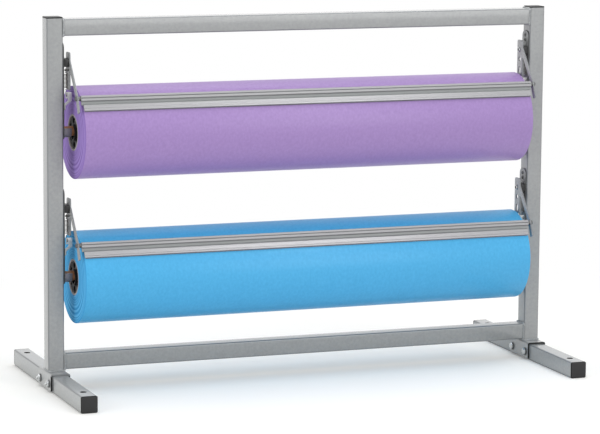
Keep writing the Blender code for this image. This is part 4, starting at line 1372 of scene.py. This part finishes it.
@dataclass
class Cutter:
    """The moving cutter of one deck: bar, blade, levers and pivot blocks."""

    deck: Deck
    end_gap: float = 19.5 * MM
    tilt: float = math.radians(24.0)
    contact: float = math.radians(32.0)
    skin: float = 1.6 * MM
    height: float = 30.0 * MM
    lip_top: float = 3.2 * MM
    lip_foot: float = 0.15 * MM
    lip: float = 0.9 * MM
    shoulder: float = 11.2 * MM
    plate_height: float = 13.6 * MM
    recess_top: float = 19.2 * MM
    recess: float = 2.2 * MM
    ridge_top: float = 24.2 * MM
    ridge: float = 1.2 * MM
    groove_top: float = 25.7 * MM
    groove: float = 0.8 * MM
    head_depth: float = 8.0 * MM
    head_bottom: float = 21.0 * MM
    bevel: float = 0.8 * MM
    inside: float = 0.15 * MM
    web_drop: float = 1.6 * MM
    web_step: float = 0.4 * MM
    deep_share: float = 0.6
    notch: float = 3.5 * MM
    blade: float = 0.8 * MM
    blade_height: float = 9.0 * MM
    blade_proud: float = 1.2 * MM
    blade_inset: float = 5.0 * MM
    blade_bevel: Pair = (0.5 * MM, 0.6 * MM)
    bolt_up: float = 25.4 * MM
    bolt_in: float = 4.3 * MM
    spacer: float = 4.0 * MM
    bolt_head: tuple[Pair, ...] = (
        (0.0, 8.0 * MM), (2.4 * MM, 8.0 * MM), (3.2 * MM, 6.9 * MM))
    leg: tuple[float, float, float, float] = (-9.5 * MM, 14.0 * MM, 19.5 * MM, -52.0 * MM)
    leg_middle: float = 1.5 * MM
    leg_hole_drop: float = 18.5 * MM
    leg_hole: float = 4.4 * MM
    slot_drops: Pair = (48.0 * MM, 33.5 * MM)
    slot: float = 3.8 * MM
    arm_width: float = 10.0 * MM
    arm_root: float = 3.0 * MM
    lever_rounds: tuple[float, float, float, float] = (5.0 * MM, 2.5 * MM, 4.0 * MM, 7.0 * MM)
    lug: Triple = (0.0, -11.0 * MM, -3.0 * MM)
    pin: float = 1.7 * MM
    pin_tip: float = 1.3 * MM
    pin_insets: Pair = (4.3 * MM, 3.9 * MM)
    pin_place: Pair = (11.0 * MM, -13.5 * MM)
    block_half: Pair = (14.0 * MM, 7.6 * MM)
    block_corner: float = 2.0 * MM
    block_edge: float = 0.5 * MM

    @property
    def body(self) -> str:
        """The CAD body that all of it rides on."""
        return self.deck.word + "_cutter"

    @property
    def out(self) -> np.ndarray:
        """The way out of the bar's face, in the side view."""
        return np.array([math.cos(self.tilt), math.sin(self.tilt)])

    @property
    def up(self) -> np.ndarray:
        """The way up the bar's face."""
        return np.array([-math.sin(self.tilt), math.cos(self.tilt)])

    def section(self, n: np.ndarray | float, t: np.ndarray | float) -> np.ndarray:
        """Side-view points for n out of the bar's face and t up it from its lower edge.

        The blade's edge touches the roll at the contact angle, and the bar leans back by the tilt:
        point = edge + n (cos tilt, sin tilt) + t (-sin tilt, cos tilt).

        Args:
            n: distance out of the face.
            t: distance up the face.

        Returns:
            Forward distance and height over the counter.
        """
        reach = RACK.paper_radius + RACK.touch
        edge = reach * np.array([math.cos(self.contact), math.sin(self.contact)])
        base = edge + (self.skin + RACK.touch + self.blade) * self.out + self.blade_proud * self.up
        base = base + np.array([0.0, self.deck.value])
        n, t = np.broadcast_arrays(np.asarray(n, float), np.asarray(t, float))
        return base + n[..., None] * self.out + t[..., None] * self.up

    def outline(self, corners: Sequence[Triple], steps: int = 4) -> np.ndarray:
        """Section corners, n and t in metres and radius in mm, rounded, in the side view."""
        flat = rounded([(n, t, radius * MM) for n, t, radius in corners], steps)
        return self.section(flat[:, 0], flat[:, 1])

    def build(self) -> None:
        """Builds and dresses the cutter's pieces."""
        self.bar()
        self.strip()
        for side in Side:
            self.lever(side)
            self.block(side)

    def bar(self) -> None:
        """The extruded bar. The head and the web under it run the whole length. The lower plate, a
        second shell that reaches up into the web, stops short of both ends."""
        slant, web, back = self.bevel, -self.recess, -self.recess - self.skin
        rise, within = self.plate_height, self.inside
        root = rise - self.web_drop
        head = self.outline([
            (web, root, 0.3), (web, self.recess_top - slant, 0.3),
            (self.ridge, self.recess_top + slant, 0.3), (self.ridge, self.ridge_top, 0.35),
            (-self.groove, self.ridge_top, 0.2), (-self.groove, self.groove_top, 0.2),
            (self.ridge, self.groove_top, 0.35), (self.ridge, self.height, slant / MM),
            (-self.head_depth, self.height, 0.5), (-self.head_depth, self.head_bottom, 0.5),
            (back, self.head_bottom, 0.4), (back, root, 0.3)])
        lower = self.outline([
            (-self.skin, 0.0, 0.3), (self.lip, self.lip_foot, 0.25), (self.lip, self.lip_top, 0.3),
            (0.0, self.lip_top + slant, 0.3), (0.0, self.shoulder, 0.5),
            (web - within, rise + slant + within, 0.1), (back + within, rise + slant, 0.1),
            (back + within, rise - slant, 0.1), (-self.skin, rise - slant - self.web_step, 0.3)])
        half = RACK.half_clear - self.end_gap
        made = carried(head, (-half, half)) + carried(lower, (self.notch - half, half - self.notch))
        piece = fit(made.piece(self.deck.word + "_bar", sharp=BAR_SHARP), EXTRUDED,
                    self.body, self.deck.word + "_cutter_bar")
        middles, normals = faces_of(piece)
        place = np.stack([-middles[:, 1], middles[:, 2]], axis=1) - self.section(0.0, 0.0)
        facing = np.stack([-normals[:, 1], normals[:, 2]], axis=1) @ self.out
        dress_some(piece, SCUFFED, place @ self.up > self.plate_height)
        # The groove floors are darker: painted shade in the recesses.
        sunk = place @ self.out < -self.deep_share * self.groove
        dress_some(piece, DIE_SKIN, (facing > RIM_LEAN) & sunk)

    def strip(self) -> None:
        """The blade: a thin strip whose lower edge is ground to a bevel."""
        front, low = -self.skin - RACK.touch, -self.blade_proud
        rear = front - self.blade
        deep, tall = self.blade_bevel
        outline = self.outline([(front - deep, low, 0), (front, tall + low, 0),
                                (front, self.blade_height, 0), (rear, self.blade_height, 0),
                                (rear, low, 0)], 1)
        half = RACK.half_clear - self.end_gap - self.blade_inset
        # The blade is drawn dark: painted shadow line under the bar.
        fit(carried(outline, (-half, half)).piece(self.deck.word + "_blade"), GROUND, self.body,
            self.deck.word + "_cutter_blade")

    def lever_outline(self) -> np.ndarray:
        """The lever's outline: leg, arm along the line from the leg's front to the bar's bolt, and
        a lug in line with the bar. Each inner corner is where two edge lines cross.

        Returns:
            The outline's points.
        """
        rear, front, top, bottom = np.array(self.leg) + [0.0, 0.0, self.deck.pivot, self.deck.pivot]
        start = np.array([front, self.deck.pivot - self.arm_root])
        way = self.section(-self.bolt_in, self.bolt_up) - start
        way /= np.linalg.norm(way)
        across = np.array([-way[1], way[0]]) * self.arm_width / 2
        lug_front, lug_rear = self.section(np.array(self.lug[:2]), self.lug[2])

        def cross(a: np.ndarray, b: np.ndarray, b_way: np.ndarray) -> Triple:
            """Where the arm's edge through a crosses the line through b, with the soft radius."""
            share = np.linalg.solve(np.stack([way, -b_way], axis=1), b - a)
            return (*(a + share[0] * way), soft)

        upright = np.array([0.0, 1.0])
        high, soft, low_front, low_rear = self.lever_rounds
        return rounded([
            (rear, top, high), (front, top, high),
            cross(start + across, start, upright), cross(start + across, lug_front, self.up),
            (*lug_front, soft), (*lug_rear, soft),
            cross(start - across, lug_rear, self.up), cross(start - across, start, upright),
            (front, bottom, low_front), (rear, bottom, low_rear)], BEND_STEPS)

    def lever(self, side: Side) -> None:
        """One lever plate with its holes, its spring pin and the bolt that holds the bar.

        Args:
            side: the lever's side.
        """
        pivot, name = self.deck.pivot, self.deck.at(side)
        outer, inner = side.inset(RACK.lever_outer), side.inset(RACK.lever_inner)
        low, high = (pivot - drop for drop in self.slot_drops)
        holes = [circle((self.leg_middle, pivot - self.leg_hole_drop), self.leg_hole,
                        HOLE_FACETS),
                 np.vstack([arc((self.leg_middle, high - self.slot), self.slot, 0.0, math.pi,
                                SLOT_STEPS),
                            arc((self.leg_middle, low + self.slot), self.slot, math.pi, TAU,
                                SLOT_STEPS)])]
        made = plate(name + "_lever_plate", [self.lever_outline(), *holes], outer, inner)
        fit(made, LEVER_SHEET, self.body, name + "_lever")
        # The lever's rims are darker: painted shade along its edges.
        dress_some(made, THIN_COAT, looks(made, 0) < RIM_LEAN)
        shoulder, tip = map(side.inset, self.pin_insets)
        pin = turned([((outer + inner) / 2, self.pin), (shoulder, self.pin), (tip, self.pin_tip)],
                     (self.pin_place[0], pivot + self.pin_place[1]))
        # The pin is dark grey: painted shade in place of its highlights.
        fit(pin.piece(name + "_spring_pin"), DULL_ZINC, self.body)
        place = tuple(self.section(-self.bolt_in, self.bolt_up))
        head = stacked([(hexagon(place, flats), side.inset(RACK.lever_outer - rise))
                        for rise, flats in self.bolt_head])
        spacer = turned([(inner, self.spacer), (side.inset(self.end_gap), self.spacer)], place)
        # The bar's bolt is dark grey: painted shade in place of its highlights.
        fit((head + spacer).piece(name + "_bar_bolt", edge=FINE_EDGE), DULL_ZINC, self.body)

    def block(self, side: Side) -> None:
        """The black block between side plate and lever, with eased edges.

        Args:
            side: the block's side.
        """
        start, name = RACK.plate_inner + RACK.touch, self.deck.at(side)
        made = carried(rounded_box(*self.block_half, self.block_corner),
                       (side.inset(start), side.inset(start + RACK.block)),
                       shift=(0.0, self.deck.pivot))
        fit(made.piece(name + "_block", edge=self.block_edge), MOULDED, self.body,
            name + "_pivot_block")


@dataclass
class Roll:
    """The roll of one deck: paper, core and plugs, and the shaft that it turns on."""

    deck: Deck
    soft_rim: float = 0.7 * MM
    rim_bow: float = 0.2 * MM
    bore_gap: float = 0.1 * MM
    core_proud: float = 0.3 * MM
    core_edge: float = 0.4 * MM
    web_edge: float = 0.6 * MM
    web_gap: float = 1.0 * MM
    plug_recess: float = 2.0 * MM
    plug_web: float = 5.0 * MM
    plug_depth: float = 26.0 * MM
    plug_rim: float = 3.0 * MM
    rim_start: float = 2.0 * MM
    hub: float = 16.0 * MM
    hub_proud: float = 3.0 * MM
    hub_chamfer: float = 1.0 * MM
    hole: float = 5.6 * MM
    hole_circle: float = 22.4 * MM
    holes: int = 6
    hole_start: float = math.radians(33.0)
    shaft_gap: float = 1.0 * MM
    shaft_wall: float = 2.0 * MM
    shaft_chamfer: float = 0.4 * MM

    @property
    def body(self) -> str:
        """The CAD body of the turning pieces."""
        return self.deck.word + "_roll"

    def build(self) -> None:
        """Builds and dresses the roll's pieces."""
        self.paper()
        self.core()
        for side in Side:
            self.plug(side)
        self.shaft()

    def sleeve(self, half: float, end: Sequence[Pair], height: float, facets: int) -> Surface:
        """A tube along X whose two ends are alike.

        Args:
            half: half its length.
            end: distance from the end and radius, from the bore out to the skin.
            height: the height of its axis.
            facets: the number of segments round it.

        Returns:
            The surface.
        """
        profile = [(inwards - half, radius) for inwards, radius in end]
        profile += [(half - inwards, radius) for inwards, radius in reversed(end)]
        return turned(profile, (0.0, height), closed=True, facets=facets)

    def paper(self) -> None:
        """The wound paper: a sleeve with soft rims; its face and its layered ends differ."""
        radius, bore = RACK.paper_radius, RACK.core_radius + self.bore_gap
        end = [(0.0, bore), (0.0, (bore + radius) / 2), (0.0, radius - self.soft_rim),
               (self.rim_bow, radius - self.rim_bow), (self.soft_rim, radius)]
        piece = self.sleeve(RACK.half_clear - RACK.paper_end, end, self.deck.value,
                            PAPER_FACETS).piece(self.deck.word + "_wound_paper")
        colours = self.deck.paper
        # Machine-finished wrapping paper: matt, with a fine fibrous skin and soft bands where the
        # sheet was wound a little tighter.
        face = Finish(self.deck.word + "_paper_face", colours.slot, colours.face, colours.face_tint,
                      roughness=0.6, cloud_mm=(4.5, 6.0, 6.0), cloud_share=0.75,
                      grain_mm=(2.6, 2.2, 2.2), grain_height_mm=0.035, specular=0.4, coat=0.35,
                      coat_roughness=0.3)
        # The cut ends of the layers, drawn as rings coarser than the real 0.1 mm so that they show.
        edge = WoundEdge(self.deck.word + "_paper_layers", colours.slot, colours.edge,
                         colours.edge_tint, roughness=0.85, grain_height_mm=0.2, specular=0.2,
                         height=self.deck.value, ring_mm=4.5, cloud_share=1.0)
        fit(piece, face, self.body, self.deck.word + "_paper")
        dress_some(piece, edge, looks(piece, 0) > END_LEAN)

    def core(self) -> None:
        """The card tube, a hair proud of the paper at both ends."""
        tube = self.sleeve(RACK.half_clear - RACK.paper_end + self.core_proud,
                           [(0.0, RACK.core_bore), (0.0, RACK.core_radius)], self.deck.value,
                           CORE_FACETS)
        fit(tube.piece(self.deck.word + "_card_core", edge=self.core_edge), CARD, self.body,
            self.deck.word + "_core")

    def plug(self, side: Side) -> None:
        """One plug: a drilled web with eased rims, the rim behind it and the hub through it.

        Args:
            side: the plug's side.
        """
        middle, name = (0.0, self.deck.value), self.deck.at(side)
        rim, bore = RACK.core_bore - RACK.touch, RACK.plug_bore
        face = RACK.paper_end + self.plug_recess
        turn = self.hole_start + TAU * np.arange(self.holes) / self.holes
        loops = [circle(middle, rim, CORE_FACETS), circle(middle, bore + self.web_gap)]
        loops += [circle(tuple(centre), self.hole, HOLE_FACETS)
                  for centre in polar(middle, self.hole_circle, turn)]
        web = plate(name + "_plug_web", loops, side.inset(face), side.inset(face + self.plug_web),
                    self.web_edge)
        fit(web, PLUG_PLASTIC, self.body, name + "_plug")
        front, start, back = map(side.inset, (face - self.hub_proud, face + self.rim_start,
                                              face + self.plug_depth))
        skirt = turned([(start, rim), (back, rim), (back, rim - self.plug_rim),
                        (start, rim - self.plug_rim)], middle, closed=True, facets=CORE_FACETS)
        chamfered = side.inset(face - self.hub_proud + self.hub_chamfer)
        hub = turned([(front, bore), (front, self.hub - self.hub_chamfer), (chamfered, self.hub),
                      (back, self.hub), (back, bore)], middle, closed=True, facets=SHAFT_FACETS)
        fit((skirt + hub).piece(name + "_plug_hub"), PLUG_PLASTIC, self.body)

    def shaft(self) -> None:
        """The steel tube that lies in the seats."""
        outer, inner = RACK.shaft_radius, RACK.shaft_radius - self.shaft_wall
        end = [(0.0, inner), (0.0, outer - self.shaft_chamfer), (self.shaft_chamfer, outer)]
        tube = self.sleeve(RACK.half_clear - RACK.plate_inner - self.shaft_gap, end,
                           self.deck.shaft, SHAFT_FACETS)
        fit(tube.piece(self.deck.word + "_steel_shaft"), BRONZED, self.deck.word + "_shaft_body",
            self.deck.word + "_shaft")


@dataclass(frozen=True)
class Lamp:
    """One square soft light that looks at a point."""

    name: str
    place: Triple
    target: Triple
    size: float
    power: float

    def build(self) -> None:
        """Puts the light in the scene."""
        data = bpy.data.lights.new(self.name, "AREA")
        data.size, data.energy = self.size, self.power
        made = linked(self.name, data)
        made.location = self.place
        way = Vector(self.target) - Vector(self.place)
        made.rotation_euler = way.to_track_quat("-Z", "Y").to_euler()


LAMPS = (Lamp("overhead", (0.2, 0.2, 3.2), (0.0, 0.0, 0.3), 3.6, 76.0),
         Lamp("left", (-2.6, -1.1, 0.9), (0.0, 0.0, 0.35), 1.7, 18.0),
         Lamp("front", (1.7, -4.2, 1.6), (0.1, 0.0, 0.35), 2.4, 48.0),
         Lamp("glint", (1.4, -2.9, 3.05), (0.0, -0.1, 0.5), 0.7, 12.0))


@dataclass
class Studio:
    """Camera, light and floor."""

    focal_px: float = 2897.2
    picture_px: float = 600.0
    sensor_mm: float = 36.0
    farthest: float = 200.0
    place: Triple = (-1.9713, -5.2239, 1.1531)
    yaw: float = math.radians(20.69)
    pitch: float = math.radians(8.62)
    roll: float = math.radians(0.44)
    world_light: float = 0.44
    white: str = "FFFFFF"
    bounce: str = "EAEAEA"
    ground: str = "F2F2EF"
    floor_half: float = 60.0
    floor_height: float = -0.2 * MM
    floor_lift: float = 0.14
    shadow_reach: Pair = (0.75, 1.5)
    shadow_shape: Triple = (1.0, 1.25, 1.0)

    def build(self) -> None:
        """Builds the studio."""
        bpy.context.scene.view_settings.view_transform = "Standard"
        self.camera()
        self.world()
        self.floor()
        for lamp in LAMPS:
            lamp.build()

    def camera(self) -> None:
        """The camera: yaw, pitch and roll as a matrix of its right, up and back ways."""
        way = np.array([math.sin(self.yaw) * math.cos(self.pitch),
                        math.cos(self.yaw) * math.cos(self.pitch), -math.sin(self.pitch)])
        right = np.array([math.cos(self.yaw), -math.sin(self.yaw), 0.0])
        up = np.cross(right, way)
        c, s = math.cos(self.roll), math.sin(self.roll)
        turn = np.stack([c * right + s * up, c * up - s * right, -way], axis=1)
        data = bpy.data.cameras.new("camera")
        data.sensor_width = self.sensor_mm
        data.lens = self.sensor_mm * self.focal_px / self.picture_px
        data.clip_end = self.farthest
        made = linked("camera", data)
        made.matrix_world = Matrix.Translation(self.place) @ Matrix(turn.tolist()).to_4x4()
        bpy.context.scene.camera = made

    def glow(self, tree: NodeTree, kind: str, strength: float) -> Node:
        """A white shader of its own light."""
        return add_node(tree, kind, {"Color": linear(self.white), "Strength": strength})

    def seen(self, tree: NodeTree) -> NodeSocket:
        """Tells the rays that show a surface from those that only light others.

        Args:
            tree: the node tree.

        Returns:
            One for the camera's rays and for those that metal and gloss reflect, else zero.
        """
        rays = add_node(tree, "LightPath").outputs
        sharp = worked(tree, "MAXIMUM", rays["Is Camera Ray"], rays["Is Glossy Ray"])
        return worked(tree, "MAXIMUM", sharp, rays["Is Transmission Ray"])

    def world(self) -> None:
        """White to the camera and in reflections, and a plain soft light on everything else."""
        world = bpy.data.worlds.new("studio")
        world.use_nodes = True
        tree = world.node_tree
        tree.nodes.clear()
        light = self.glow(tree, "Background", self.world_light)
        white = self.glow(tree, "Background", 1.0)
        mixed = mixed_shader(tree, self.seen(tree), light, white)
        add_node(tree, "OutputWorld", {"Surface": mixed.outputs[0]})
        bpy.context.scene.world = world

    def floor(self) -> None:
        """A pale floor that keeps the rack's shadow, and goes over to plain white away from it."""
        grid = self.floor_half * np.array([[-1, -1], [1, -1], [1, 1], [-1, 1]])
        mesh = bpy.data.meshes.new("floor")
        mesh.from_pydata(np.column_stack([grid, np.full(4, self.floor_height)]).tolist(), [],
                         [(0, 1, 2, 3)])
        made = linked("floor", mesh)
        surface = bpy.data.materials.new("pale_floor")
        surface.use_nodes = True
        tree = surface.node_tree
        lit = feed(tree, tree.nodes["Principled BSDF"], {
            "Base Color": linear(self.ground), "Roughness": 0.95, "Specular IOR Level": 0.1})
        white = self.glow(tree, "Emission", 1.0)
        lift = self.glow(tree, "Emission", self.floor_lift)
        near = add_node(tree, "AddShader", {0: lit.outputs[0], 1: lift.outputs[0]})
        shrunk = add_node(tree, "Mapping", {
            "Vector": object_place(tree), "Scale": self.shadow_shape})
        share = ranged(tree, length_of(tree, shrunk.outputs["Vector"]), self.shadow_reach,
                       (0.0, 1.0), interpolation_type="SMOOTHSTEP")
        shown = mixed_shader(tree, share, near, white)
        dull = add_node(tree, "BsdfDiffuse", {"Color": linear(self.bounce)})
        mixed = mixed_shader(tree, self.seen(tree), dull, shown)
        feed(tree, tree.nodes["Material Output"], {"Surface": mixed.outputs[0]})
        mesh.materials.append(surface)


def main() -> None:
    """Builds the studio, the frame, the feet and both decks."""
    logging.basicConfig(level=logging.INFO, format="%(message)s")
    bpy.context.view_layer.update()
    Studio().build()
    Frame().build()
    for side in Side:
        Foot(side).build()
    for deck in Deck:
        for side in Side:
            Station(side, deck).build()
            TensionSpring(side, deck).build()
        Cutter(deck).build()
        Roll(deck).build()


if __name__ == "__main__":
    main()
